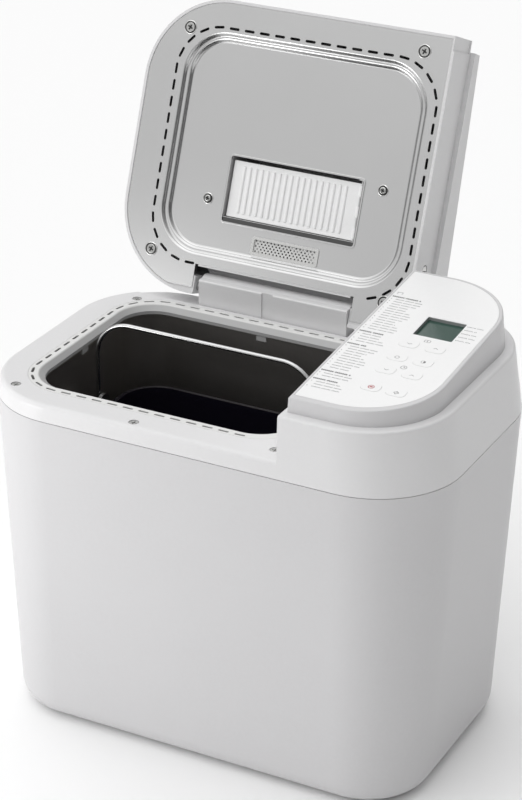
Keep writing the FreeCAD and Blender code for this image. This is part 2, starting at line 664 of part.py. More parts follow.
def kneading_blade():
    """Hub with one swept fin, a push fit over the flat on the shaft."""
    low = 104.0
    hub = joined([post(OVEN_X, 0, low, low + 30, 9.0), post(OVEN_X, 0, low, low + 4, 12.0)])
    profile = [V(OVEN_X, -2.4, low), V(OVEN_X + 46, -2.4, low), V(OVEN_X + 46, -2.4, low + 20),
               V(OVEN_X + 24, -2.4, low + 44), V(OVEN_X, -2.4, low + 40)]
    fin = Part.Face(Part.makePolygon(profile + profile[:1])).extrude(V(0, 4.8, 0))
    fin = softened(fin, [e for e in fin.Edges if abs(e.Vertexes[0].Point.y) > 2
                         and abs(e.Vertexes[0].Point.y - e.Vertexes[-1].Point.y) < 1e-6
                         and e.BoundBox.XMin > OVEN_X + 1], 1.4)
    bore = post(OVEN_X, 0, 90, 133, 4.0 + RUN)
    bore = bore.cut(block(OVEN_X + 2.8 + RUN, OVEN_X + 6, -6, 6, 90, 140))
    return joined([hub, fin]).cut(bore)


def pan_ears():
    """Two brackets on the rim that carry the handle."""
    made = []
    for side in (-1, 1):
        inner, outer = 92.4, 95.2
        xs = sorted((OVEN_X + side * inner, OVEN_X + side * outer))
        ear = block(xs[0], xs[1], -8, 8, PAN_TOP - 12, BAIL_PIVOT_Z)
        ear = joined([ear, rod(V(xs[0], 0, BAIL_PIVOT_Z), V(xs[1], 0, BAIL_PIVOT_Z), 8)])
        ear = ear.cut(rod(V(xs[0] - 5, 0, BAIL_PIVOT_Z), V(xs[1] + 5, 0, BAIL_PIVOT_Z),
                          BAIL_R + RUN))
        ear = ear.cut(slab(grown(PAN_RIM, 3.5), PAN_TOP - 20, PAN_TOP + 2.1, OVEN_X))
        made.append(ear)
    return Part.makeCompound(made)


def pan_handle():
    """Wire bail, standing upright."""
    left, right = OVEN_X - BAIL_HALF, OVEN_X + BAIL_HALF
    top = BAIL_TOP_Z - BAIL_R
    route = [V(left + 7, 0, BAIL_PIVOT_Z), V(left, 0, BAIL_PIVOT_Z), V(left, 0, top),
             V(right, 0, top), V(right, 0, BAIL_PIVOT_Z), V(right - 7, 0, BAIL_PIVOT_Z)]
    return bent_rod(route, [2.4, BAIL_CORNER, BAIL_CORNER, 2.4], BAIL_R)


# ---- control panel ------------------------------------------------------------------------------
def panel_block(inset=0.0, drop=0.0):
    """Raised block on the ledge, offset inwards."""
    body = taper(grown(PANEL_FOOT, -inset), LEDGE_Z, grown(PANEL_HEAD, -inset), HEAD_Z)
    return body.common(block(PANEL_STEP_X + inset, 300, -300, 300, 0, 500)).cut(above_panel(-drop))


def on_slope(point, lift=0.0):
    return abs(point.z - panel_z(point.y, lift)) < 1e-3


def control_panel():
    """Sloping housing with wells for the display and the keys."""
    outer = panel_block()
    outer = softened(outer, top_edges(outer, on_slope), 1.2)
    skirt = slab(grown(PANEL_FOOT, -3.1), 321.5, LEDGE_Z + 2)
    skirt = skirt.common(block(83.6, 300, -300, 300, 0, 500))
    inner = slab(grown(PANEL_FOOT, -5.4), 310, LEDGE_Z + 0.5)
    inner = inner.common(block(PANEL_STEP_X + 5.4, 300, -300, 300, 0, 500))
    shell = joined([outer, skirt]).cut(inner).cut(panel_block(3.2, 2.6))
    shell = shell.cut(overlay_area(0.25))
    x0, x1, y0, y1 = DISPLAY
    well = rounded_block(x0 - 2.2, x1 + 2.2, y0 - 2.2, y1 + 2.2, 300, 400, 2.0)
    shell = shell.cut(well)
    for x, y in KEYS.values():
        shell = shell.cut(key_shape(x, y, -20, 20, KEY_GAP))
    return shell


def overlay_area(spare):
    """Region of the thin sheet let into the panel's top."""
    edge = SHEET_INSET - spare
    sheet = slab(grown(PANEL_HEAD, -edge), 300, 400)
    sheet = sheet.common(block(PANEL_STEP_X + edge, 300, -300, 300, 0, 500))
    return panel_layer(sheet, -SHEET_THICK, 5)


def panel_overlay():
    """Printed sheet with openings for the display and the keys."""
    sheet = overlay_area(0.0).cut(above_panel(0.0))
    x0, x1, y0, y1 = DISPLAY
    sheet = sheet.cut(rounded_block(x0, x1, y0, y1, 300, 400, 1.0))
    for x, y in KEYS.values():
        sheet = sheet.cut(key_shape(x, y, -20, 20, KEY_GAP))
    return sheet


def key(x, y):
    """Soft key pad that stands a little above the sheet and reaches down to the board."""
    return key_shape(x, y, -KEY_DEEP, KEY_PROUD)


def display_bezel():
    """Dark frame down the sides of the display's well."""
    x0, x1, y0, y1 = DISPLAY
    frame = rounded_block(x0 - 2.0, x1 + 2.0, y0 - 2.0, y1 + 2.0, 300, 400, 1.8)
    frame = frame.cut(rounded_block(x0, x1, y0, y1, 300, 400, 1.0))
    return panel_layer(frame, -6.0, -SHEET_THICK)


def display_window():
    """Clear pane over the display."""
    x0, x1, y0, y1 = DISPLAY
    return panel_layer(rounded_block(x0 + 0.05, x1 - 0.05, y0 + 0.05, y1 - 0.05, 300, 400, 0.9),
                       -4.0, -2.8)


def display():
    """The pane and the display module under it."""
    return Part.makeCompound([display_window(), lcd_module()])


def lcd_module():
    """Display module under the pane."""
    x0, x1, y0, y1 = DISPLAY
    glass = rounded_block(x0 + 0.4, x1 - 0.4, y0 + 0.4, y1 - 0.4, 300, 400, 0.8)
    return panel_layer(glass, -6.9, -4.1)


def control_board():
    """Board under the keys, with a switch for each."""
    board = panel_layer(rounded_block(92, 161, -84, 50, 300, 400, 6), -8.6, -7.0)
    made = [board]
    for x, y in KEYS.values():
        made.append(panel_layer(block(x - 3, x + 3, y - 3, y + 3, 300, 400), -7.0, -6.0))
    chip = panel_layer(block(100, 114, -30, -16, 300, 400), -10.6, -8.6)
    return joined(made + [chip])


def control_board_posts():
    """Pillars that hang the board from the panel's roof."""
    return [panel_layer(post(x, y, 300, 400, 2), -7.0, -2.6)
            for x, y in ((98, -80), (98, 46), (139, -81), (140, 47))]


def board_standoffs():
    """Pillars between the chassis' wing and the power board."""
    return [rod(V(81.4, y, z), V(88, y, z), 3) for y in (-60, 60) for z in (158, 252)]


def power_board():
    """Mains board with its transformer, relay and capacitors."""
    parts = [block(88, 89.6, -70, 70, 150, 260), block(89.6, 116, -60, -26, 160, 190),
             block(89.6, 106, -12, 8, 164, 180), block(89.6, 104, 20, 60, 206, 210)]
    for y, z in ((20, 170), (36, 170), (52, 170)):
        parts.append(rod(V(89.6, y, z), V(112, y, z), 5.5))
    for y in (-50, -30, -10):
        parts.append(block(89.6, 99, y, y + 12, 222, 236))
    return joined(parts)


# ---- lid, modelled closed -----------------------------------------------------------------------
def lid_block(inset, drop, low):
    """Lid as a solid, offset inwards: a skirt like the cover's and a narrower block on the ledge."""
    skirt = taper(grown(cover_size(low), -inset), low, grown(LEDGE, -inset), LEDGE_Z - drop)
    skirt = skirt.common(block(-300, LID_X - inset, -300, 300, 0, 500))
    head = taper(grown(PANEL_FOOT, -inset), LEDGE_Z - drop - 1, grown(PANEL_HEAD, -inset), HEAD_Z + 4)
    head = head.common(block(-300, LID_STEP_X - inset, -300, 300, 0, 500))
    over_ledge = LEDGE_Z + LEDGE_GAP + inset
    head = head.cut(block(LID_X - inset, 300, -300, 300, 0, over_ledge))
    return skirt, head.cut(above_panel(LID_RISE - drop))


def hinge_room(radius):
    """Round space about the hinge axis between the lid's two arms."""
    low = -116.0 - (17.0 - radius)
    high = 26.0 + (17.0 - radius)
    room = rod(V(low, HINGE_Y, HINGE_Z), V(high, HINGE_Y, HINGE_Z), radius)
    return joined([room, block(low, high, HINGE_Y - radius, 160, HINGE_Z - 40, HINGE_Z)])


def lid_posts():
    return [(-157.4, -94.4), (51.3, -105.6), (-160.4, 91.4), (54.0, 96.0)]


def small_posts():
    return [(-118.5, 41.4), (34.7, 8.4)]


def lid_cover():
    """Outer lid shell with bosses, the pocket round the hinge tower and the dispenser's mouth."""
    skirt, head = lid_block(0.0, 0.0, LID_LOW - 0.2)
    outer = softened(skirt, top_edges(skirt, lambda p: abs(p.z - LEDGE_Z) < 1e-3), 2.2)
    head = softened(head, top_edges(head, lambda p: on_slope(p, LID_RISE)), 3.0)
    outer = joined([outer, head])
    low_in, high_in = lid_block(LID_WALL, LID_WALL, LID_LOW - 2)
    shell = outer.cut(low_in.fuse(high_in))
    skirt_in, head_in = lid_block(LID_WALL - 0.1, LID_WALL - 0.1, LID_LOW)
    room_in = skirt_in.fuse(head_in)
    flange = skirt_in.common(block(-300, 300, -300, 300, LID_LOW + PLATE, LID_LOW + PLATE + 2))
    inner_edge = slab((174, 106, 58), 280, 300)
    flange = flange.cut(inner_edge.common(block(-300, LID_X - FLANGE_RIGHT, -300, 300, 0, 500)))
    bosses = [post(x, y, LID_LOW + PLATE, 380, 4.6).common(room_in) for x, y in lid_posts()]
    bosses += [post(x, y, LID_LOW + PLATE + DISH_DEEP, 380, 3.4).common(room_in)
               for x, y in small_posts()]
    pocket = hinge_room(18.4).common(room_in)
    pocket = joined([pocket, hinge_room(18.4).common(outer).common(
        block(-300, 300, 90, 200, LID_LOW, LID_LOW + 6))])
    shell = joined([shell, flange, pocket] + bosses).cut(hinge_room(17.0))
    arms = []
    for x0, x1 in ((-134.0, -116.2), (26.2, 44.0)):
        arm = rod(V(x0, HINGE_Y, HINGE_Z), V(x1, HINGE_Y, HINGE_Z), 9.0)
        web = block(x0, x1, HINGE_Y - 6, HINGE_Y + 4, HINGE_Z, 340)
        arms.append(joined([arm, web]).common(room_in.fuse(shell)))
    shell = joined([shell] + arms)
    shell = shell.cut(rod(V(-128, HINGE_Y, HINGE_Z), V(38, HINGE_Y, HINGE_Z), 4.0 + RUN))
    x0, x1, y0, y1 = BOX
    shell = shell.cut(block(x0, x1, y0, y1, 290, 400))
    seat = rounded_block(x0 - 5.3, x1 + 5.3, y0 - 5.3, y1 + 9.3, 290, 400, 5)
    shell = shell.cut(panel_layer(seat, LID_RISE - DOOR_SUNK, 20))
    gx0, gx1, gy0, gy1 = GRILLE
    shell = shell.cut(block(gx0 + 6, gx1 - 6, gy0 + 1, gy1 - 1, 290, 400))
    for x, y in lid_posts():
        shell = shell.cut(post(x, y, 280, 306, 1.65))
    for x, y in small_posts():
        shell = shell.cut(post(x, y, 280, 306, 1.25))
    recess = block(LID_X - 1.2, LID_X + 5, -125, -109.6, LID_LOW - 1, LEDGE_Z - 2.5)
    shell = shell.cut(recess)
    shell = shell.cut(block(LID_STEP_X - 1.4, LID_STEP_X + 5, 74.4, 79.0, LEDGE_Z + 5, 352))
    return shell.cut(rod(V(LID_X - 1.5, 66.8, 311.0), V(LID_X + 3, 66.8, 311.0), 5.6))


def dish(rim, spare, level, middle):
    """Solid under one face of the dish: two rounded steps from the rim down to the floor."""
    return Part.makeLoft([outline(grown(rim, spare - inset), level + depth, *middle)
                          for inset, depth in DISH_STEPS], True, True)


def hemmed(plate, x0, x1, y0, y1, corner):
    """Cut an opening in the dish's floor and stand a narrow hem round it."""
    floor = LID_LOW + DISH_DEEP
    hole = rounded_block(x0, x1, y0, y1, 280, 310, corner)
    hem = rounded_block(x0 - HEM, x1 + HEM, y0 - HEM, y1 + HEM, floor - HEM_PROUD, floor + 0.2,
                        corner + HEM)
    hem = softened(hem, top_edges(hem, lambda p: abs(p.z - floor + HEM_PROUD) < 1e-3), 0.4)
    return joined([plate, hem]).cut(hole)


def lid_plate():
    """Pressed aluminium plate: slotted rim, sunk dish, dispenser and vent cut-outs."""
    high = LID_LOW + PLATE
    outer = slab((189.0, 118.8, 68.0), LID_LOW, high)
    outer = outer.common(block(-300, LID_X - LID_WALL - 0.1, -300, 116.0, 0, 500))
    x0, x1, y0, y1 = DISH
    middle = ((x0 + x1) / 2, (y0 + y1) / 2)
    rim = ((x1 - x0) / 2, (y1 - y0) / 2, DISH_R)
    under, over = dish(rim, 0.0, LID_LOW, middle), dish(rim, 0.6, high, middle)
    plate = joined([outer, over]).cut(under).cut(slab(grown(rim, -0.001), 280, LID_LOW, *middle))
    plate = plate.cut(block(-117.5, 27.5, 96.2, 160, 280, 310))
    bx0, bx1, by0, by1 = BOX
    plate = hemmed(plate, bx0 + 2, bx1 - 2, by0 + 2, by1 - 2, 2.0)
    gx0, gx1, gy0, gy1 = GRILLE
    plate = plate.cut(rounded_block(gx0 + GRILLE_X, gx1 - GRILLE_X, gy0 + GRILLE_Y, gy1 - GRILLE_Y,
                                    280, 310, 1.5))
    loop = (116.9, 97.35, 38.9)
    places = [(p, w) for p, w in loop_points(loop, 13.8, -47.4, -1.15)
              if not (p.y > 90 and -122 < p.x < 32)]
    plate = plate.cut(slots(places, 280, 310, 9.0, 2.2))
    for x, y in lid_posts():
        plate = plate.cut(post(x, y, 280, 310, 2.0))
    for x, y in small_posts():
        plate = plate.cut(post(x, y, 280, 310, 1.6))
    return plate


def cross_head(x, y, low, high, r, shank_top, shank_r):
    """Pan-head screw that points up, with a cross recess."""
    deep = low + 0.7 * (high - low)
    head = post(x, y, low, high, r)
    head = softened(head, top_edges(head, lambda p: abs(p.z - low) < 1e-3), 0.5 * (high - low))
    head = head.cut(block(x - 0.6 * r, x + 0.6 * r, y - 0.14 * r, y + 0.14 * r, low - 1, deep))
    head = head.cut(block(x - 0.14 * r, x + 0.14 * r, y - 0.6 * r, y + 0.6 * r, low - 1, deep))
    return joined([head, post(x, y, high - 0.1, shank_top, shank_r)])


def lid_plate_screws():
    made = [cross_head(x, y, LID_LOW - SCREW_PROUD, LID_LOW, 3.9, 304, 1.6)
            for x, y in lid_posts()]
    sunk = LID_LOW + DISH_DEEP
    made += [cross_head(x, y, sunk - 1.6, sunk, 2.9, 304, 1.2) for x, y in small_posts()]
    return made


def lid_side_screw():
    """Round screw cap in the lid's right wall."""
    x = LID_X - 1.5
    cap = rod(V(x, 66.8, 311.0), V(x + 1.3, 66.8, 311.0), 4.6)
    return cap.cut(block(x + 0.6, x + 3, 66.2, 67.4, 307.6, 314.4))


def lid_screws():
    """All the lid's screws."""
    return Part.makeCompound(lid_plate_screws() + [lid_side_screw()])


def steam_grille():
    """Perforated plate with a raised frame."""
    x0, x1, y0, y1 = GRILLE
    low = LID_LOW + DISH_DEEP
    frame = rounded_block(x0, x1, y0, y1, low - 0.8, low, 2.0)
    mx, my = GRILLE_X + 0.2, GRILLE_Y + 0.2
    sheet = rounded_block(x0 + mx, x1 - mx, y0 + my, y1 - my, low - 0.8, low + 1.2, 1.4)
    grille = joined([frame, sheet])
    mx, my = mx + 0.6, my + 0.6
    grille = grille.cut(rounded_block(x0 + mx, x1 - mx, y0 + my, y1 - my, low - 2, low + 0.4, 1.0))
    holes = []
    for row in range(HOLE_ROWS):
        y = (y0 + y1) / 2 + (row - (HOLE_ROWS - 1) / 2) * HOLE_DY
        shift = 0.5 * (row % 2)
        for column in range(HOLE_COLUMNS - row % 2):
            x = (x0 + x1) / 2 + (column - (HOLE_COLUMNS - 1) / 2 + shift) * HOLE_DX
            holes.append(post(x, y, low - 3, low + 3, HOLE_R))
    return grille.cut(Part.makeCompound(holes))


def steam_duct():
    """Channel from the grille to the vent on top."""
    x0, x1, y0, y1 = GRILLE
    low = LID_LOW + DISH_DEEP + PLATE
    outside = block(x0 + 4, x1 - 4, y0 + 1.2, y1 - 1.2, low + 0.6, 400)
    inside = block(x0 + 7.5, x1 - 7.5, y0 + 2.6, y1 - 2.6, low - 2, 400)
    return outside.cut(inside).cut(above_panel(LID_RISE - LID_WALL - 0.1))


def steam_vent():
    """Louvred cap in the lid's top, with the channel up to it."""
    x0, x1, y0, y1 = GRILLE
    cap = block(x0 + 6.2, x1 - 6.2, y0 + 1.2, y1 - 1.2, 300, 400)
    cap = panel_layer(cap, LID_RISE - LID_WALL - 0.4, LID_RISE + 0.4)
    cuts = [block(x, x + 2.2, y0 + 3.6, y1 - 3.6, 300, 400) for x in range(-62, -24, 5)]
    return joined([cap.cut(Part.makeCompound(cuts)), steam_duct()])


def dispenser_box():
    """Box for dry ingredients, open above and below."""
    x0, x1, y0, y1 = BOX
    floor = LID_LOW + DISH_DEEP + PLATE + 0.05
    wall = 1.6
    tube_ = block(x0 + 0.1, x1 - 0.1, y0 + 0.1, y1 - 0.1, LID_LOW + DISH_DEEP + PLATE, 400)
    inner = block(x0 + wall, x1 - wall, y0 + wall, y1 - wall, 280, 400)
    strip = block(x0 + wall, x1 - wall, 53.6, y1 - wall, floor, floor + 2)
    box = joined([tube_.cut(inner), strip]).cut(above_panel(LID_RISE - DOOR_SUNK))
    px, pz = FLAP_PIN
    ear_low = [block(px - 2.2, x1 - wall, y0 + wall, 4.0, floor, pz + 4),
               block(px - 2.2, x1 - wall, 54.0, y1 - wall, floor, pz + 4)]
    box = joined([box] + ear_low)
    box = box.cut(rod(V(px, 0, pz), V(px, 60.4, pz), 1.25))
    return box.cut(rod(V(x0 - 1, PLUNGER_Y, PLUNGER_Z), V(x0 + 3, PLUNGER_Y, PLUNGER_Z), 2.8))


def soft_rib(x, z):
    """Round-backed rib with round ends, half sunk in the flap."""
    ends = V(x, 11.5, z), V(x, 48.0, z)
    return joined([rod(*ends, RIB_R)] + [Part.makeSphere(RIB_R, end) for end in ends])


def dispenser_flap():
    """Ribbed white flap that closes the box from below."""
    px, pz = FLAP_PIN
    low = pz - 1.2
    plate = rounded_block(-101.2, px, 6.4, 52.9, low, low + 2.4, 1.0)
    ribs = [soft_rib(RIB_LEFT + RIB_PITCH * i, low + 0.6) for i in range(RIB_COUNT)]
    knuckles = [rod(V(px, y, pz), V(px, y + 9, pz), 2.3) for y in (8.0, 25.0, 42.0)]
    catch = block(-97.6, -94.0, PLUNGER_Y - 4, PLUNGER_Y + 4, low + 2.0, PLUNGER_Z + 4)
    catch = catch.cut(rod(V(-99, PLUNGER_Y, PLUNGER_Z), V(-90, PLUNGER_Y, PLUNGER_Z), 2.7))
    flap = joined([plate, catch] + ribs + knuckles)
    return flap.cut(rod(V(px, 0, pz), V(px, 60, pz), 1.25 + RUN))


def flap_pin():
    px, pz = FLAP_PIN
    return rod(V(px, 1.2, pz), V(px, 59.2, pz), 1.24)


def dispenser_lid():
    """Outer door over the dispenser, hinged along its rear edge."""
    x0, x1, y0, y1 = BOX
    door = rounded_block(x0 - 5, x1 + 5, y0 - 5, y1 + 5, 290, 400, 5)
    door = panel_layer(door, LID_RISE - 0.6, LID_RISE + 1.4)
    seal = rounded_block(x0 + 2, x1 - 2, y0 + 2, y1 - 2, 290, 400, 2)
    seal = seal.cut(rounded_block(x0 + 4, x1 - 4, y0 + 4, y1 - 4, 290, 400, 2))
    door = joined([door, panel_layer(seal, LID_RISE - 4.0, LID_RISE - 0.5)])
    py, pz = DOOR_PIN
    knuckles = [rod(V(x, py, pz), V(x + 12, py, pz), 1.8) for x in DOOR_LEAVES]
    door = joined([door] + knuckles)
    return door.cut(rod(V(-200, py, pz), V(100, py, pz), DOOR_PIN_R + RUN))


def door_pins():
    """Pins of the outer door, each with a seat at both ends."""
    py, pz = DOOR_PIN
    made = []
    for x in DOOR_LEAVES:
        pin = rod(V(x - 4, py, pz), V(x + 16, py, pz), DOOR_PIN_R)
        for end in (x - 4, x + 12.5):
            seat = block(end, end + 3.5, py - DOOR_PIN_R, py + 1.5, pz - 5, pz)
            seat = seat.common(above_panel(LID_RISE - DOOR_SUNK))
            eye = rod(V(end, py, pz), V(end + 3.5, py, pz), DOOR_PIN_R + RUN)
            pin = joined([pin, seat, eye])
        made.append(pin)
    return made


def dispenser_pins():
    """Pins of the flap and of the outer door."""
    return Part.makeCompound([flap_pin()] + door_pins())


def dispenser_solenoid():
    """Coil that lets the flap go."""
    coil = block(-134, -112, 17, 37, LID_LOW + DISH_DEEP + PLATE, 316)
    return coil.cut(rod(V(-140, PLUNGER_Y, PLUNGER_Z), V(-100, PLUNGER_Y, PLUNGER_Z), 2.55))


def solenoid_plunger():
    """Sprung plunger that reaches through the box's wall, just short of the flap's catch."""
    return rod(V(-130, PLUNGER_Y, PLUNGER_Z), V(-98.2, PLUNGER_Y, PLUNGER_Z), 2.5)


def hinge_pins():
    """Two steel pins between the hinge tower and the lid's arms."""
    return Part.makeCompound([rod(V(-127, HINGE_Y, HINGE_Z), V(-97, HINGE_Y, HINGE_Z), 3.98),
                              rod(V(12.4, HINGE_Y, HINGE_Z), V(37, HINGE_Y, HINGE_Z), 3.98)])


# ---- assembly -----------------------------------------------------------------------------------
UPRIGHT = [lower_body, feet, base_plate, body_screws, cord_gland, top_cover, oven_ring, ring_clips,
           oven_chamber, heat_shield, heater_element, heater_supports, temperature_sensor,
           pan_socket, chassis, pillars, bearing_housing, shaft_bushes, drive_shaft, drive_belt,
           drive_coupler, motor, motor_mounts, motor_shaft, bread_pan, pan_base, pan_shaft_seal,
           pan_shaft, pan_coupler, kneading_blade, pan_ears, pan_handle, control_panel,
           panel_overlay, display_bezel, display, control_board, power_board, hinge_pins]
ON_LID = [lid_cover, lid_plate, lid_screws, steam_grille, steam_vent, dispenser_box,
          dispenser_flap, dispenser_pins, dispenser_lid, dispenser_solenoid, solenoid_plunger]


def nodes():
    """Every node's name and a function that makes its solid."""
    made = {f.__name__: f for f in UPRIGHT}
    for part in ON_LID:
        made[part.__name__] = lambda part=part: opened(part())
    made["drive_pulley"] = lambda: pulley(OVEN_X, PULLEY_R, 17, 25, SHAFT_R, 6)
    made["motor_pulley"] = lambda: pulley(MOTOR_X, MOTOR_PULLEY_R, 17, 25, 4.0)
    for name, (x, y) in KEYS.items():
        made[name] = lambda x=x, y=y: key(x, y)
    return made


def main():
    for name, make in nodes().items():
        shape = make()
        if not shape.isValid() or shape.Volume <= 0:
            raise RuntimeError(name + " isn't a valid solid")
        shape.exportStep("parts/" + name + ".step")


if __name__ == "__main__":
    main()
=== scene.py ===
"""Bread machine with its lid open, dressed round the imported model.

Laid out as an add-on and run as a script: the frame is loaded first, one operator makes each group of
pieces, and main() calls them in order. Metres throughout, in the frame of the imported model.
"""
import json
import math

import bpy
from mathutils import Matrix, Vector


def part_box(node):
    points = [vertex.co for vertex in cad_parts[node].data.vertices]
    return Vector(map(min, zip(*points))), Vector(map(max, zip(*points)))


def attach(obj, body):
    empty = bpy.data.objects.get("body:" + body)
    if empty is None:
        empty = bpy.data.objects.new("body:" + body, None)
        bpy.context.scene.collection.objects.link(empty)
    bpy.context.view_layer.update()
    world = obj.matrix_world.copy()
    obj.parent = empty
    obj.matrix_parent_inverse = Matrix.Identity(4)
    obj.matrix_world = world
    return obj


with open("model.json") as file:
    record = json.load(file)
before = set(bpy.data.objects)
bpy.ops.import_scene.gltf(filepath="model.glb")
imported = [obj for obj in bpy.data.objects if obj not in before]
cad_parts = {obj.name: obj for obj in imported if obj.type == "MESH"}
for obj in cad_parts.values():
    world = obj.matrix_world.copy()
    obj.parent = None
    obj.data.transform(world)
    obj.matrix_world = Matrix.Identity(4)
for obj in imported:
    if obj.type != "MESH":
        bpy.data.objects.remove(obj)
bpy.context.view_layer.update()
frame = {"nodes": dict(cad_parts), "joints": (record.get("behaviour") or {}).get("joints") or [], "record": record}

bl_info = {
    "name": "Bread Machine",
    "version": (1, 0, 0),
    "blender": (4, 5, 0),
    "location": "View3D > Sidebar > Bread Machine",
    "description": "Finishes and fine pieces of a bread machine round its packed model",
    "category": "Object",
}

MM = 0.001
JOINTS = {joint["name"]: joint for joint in frame["joints"]}

# ---- places read from the frame -----------------------------------------------------------------
HINGE = Vector(JOINTS["lid_hinge"]["pos_m"])
LID_OPEN = math.radians(JOINTS["lid_hinge"]["range_deg"][1])
LID_TURN = (Matrix.Translation(HINGE) @ Matrix.Rotation(-LID_OPEN, 4, "X")
            @ Matrix.Translation(-HINGE))      # takes the closed lid's places to the open lid's
PRESS = Vector(JOINTS["key_stop_press"]["axis"])    # straight into the sloping panel
SLOPE = -PRESS.y / PRESS.z
SHEET_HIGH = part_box("panel_overlay")[1]
DECK_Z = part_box("oven_ring")[1].z
SLOPE_TOP, SLOPE_FULL = 0.3 * MM, 0.9 * MM      # below the deck: where the ring's grey starts, is full


# ---- node helpers -------------------------------------------------------------------------------
PER_METRE = 1000.0                  # a texture's scale is this over its pitch in millimetres
DRIFT_SIZE, FLOOR_DRIFT = 9.0, 1.5  # scales of the slow change of tone, on the object and the floor
DUST_FINER = 40.0                   # how much finer the faint dust is than the drift
CLOUD_SIZE = 18.0                   # scale of the cloudy handling marks
GRAIN_BUMP, BRUSH_BUMP = 0.25, 0.3  # bump strengths


def add_node(tree, kind, **sockets):
    """A shader node; sockets are given by name with underscores for spaces, and attributes too."""
    made = tree.nodes.new(kind)
    for name, value in sockets.items():
        label = name.replace("_", " ")
        if label in made.inputs:
            made.inputs[label].default_value = value
        else:
            setattr(made, name, value)
    return made


def join(tree, source, target):
    """Link two sockets."""
    tree.links.new(source, target)


def new_group(name, inputs, outputs):
    """An empty shader group with its sockets; inputs and outputs are (name, kind, default)."""
    group = bpy.data.node_groups.new(name, "ShaderNodeTree")
    for label, kind, value in inputs:
        socket = group.interface.new_socket(name=label, in_out="INPUT", socket_type=kind)
        socket.default_value = value
    for label, kind in outputs:
        group.interface.new_socket(name=label, in_out="OUTPUT", socket_type=kind)
    return group, group.nodes.new("NodeGroupInput"), group.nodes.new("NodeGroupOutput")


def drift_group():
    """Slow change of tone over a moulding, with a faint dust in it."""
    name = "Tone drift"
    if name in bpy.data.node_groups:
        return bpy.data.node_groups[name]
    group, given, result = new_group(
        name,
        [("Light", "NodeSocketColor", (0.8, 0.8, 0.8, 1)),
         ("Dark", "NodeSocketColor", (0.7, 0.7, 0.7, 1)), ("Size", "NodeSocketFloat", 12.0)],
        [("Color", "NodeSocketColor"), ("Mask", "NodeSocketFloat")])
    place = add_node(group, "ShaderNodeTexCoord")
    slow = add_node(group, "ShaderNodeTexNoise", Detail=3.0, Roughness=0.5)
    fine = add_node(group, "ShaderNodeTexNoise", Detail=2.0, Roughness=0.6)
    times = add_node(group, "ShaderNodeMath", operation="MULTIPLY")
    times.inputs[1].default_value = DUST_FINER
    both = add_node(group, "ShaderNodeMath", operation="MULTIPLY")
    mix = add_node(group, "ShaderNodeMix", data_type="RGBA")
    join(group, place.outputs["Object"], slow.inputs["Vector"])
    join(group, place.outputs["Object"], fine.inputs["Vector"])
    join(group, given.outputs["Size"], slow.inputs["Scale"])
    join(group, given.outputs["Size"], times.inputs[0])
    join(group, times.outputs[0], fine.inputs["Scale"])
    join(group, slow.outputs["Fac"], both.inputs[0])
    join(group, fine.outputs["Fac"], both.inputs[1])
    join(group, both.outputs[0], mix.inputs["Factor"])
    join(group, given.outputs["Light"], mix.inputs["A"])
    join(group, given.outputs["Dark"], mix.inputs["B"])
    join(group, mix.outputs["Result"], result.inputs["Color"])
    join(group, both.outputs[0], result.inputs["Mask"])
    return group


def grain_group():
    """Fine moulded grain: a height and a roughness that change together."""
    name = "Moulded grain"
    if name in bpy.data.node_groups:
        return bpy.data.node_groups[name]
    group, given, result = new_group(
        name,
        [("Pitch", "NodeSocketFloat", 0.6), ("Rough low", "NodeSocketFloat", 0.3),
         ("Rough high", "NodeSocketFloat", 0.4)],
        [("Height", "NodeSocketFloat"), ("Roughness", "NodeSocketFloat")])
    place = add_node(group, "ShaderNodeTexCoord")
    scale = add_node(group, "ShaderNodeMath", operation="DIVIDE")
    scale.inputs[0].default_value = PER_METRE
    noise = add_node(group, "ShaderNodeTexNoise", Detail=2.0, Roughness=0.55)
    spots = add_node(group, "ShaderNodeTexVoronoi", Randomness=1.0)
    both = add_node(group, "ShaderNodeMath", operation="ADD")
    rough = add_node(group, "ShaderNodeMapRange")
    join(group, given.outputs["Pitch"], scale.inputs[1])
    for texture in (noise, spots):
        join(group, place.outputs["Object"], texture.inputs["Vector"])
        join(group, scale.outputs[0], texture.inputs["Scale"])
    join(group, noise.outputs["Fac"], both.inputs[0])
    join(group, spots.outputs["Distance"], both.inputs[1])
    join(group, both.outputs[0], result.inputs["Height"])
    join(group, noise.outputs["Fac"], rough.inputs["Value"])
    join(group, given.outputs["Rough low"], rough.inputs["To Min"])
    join(group, given.outputs["Rough high"], rough.inputs["To Max"])
    join(group, rough.outputs["Result"], result.inputs["Roughness"])
    return group


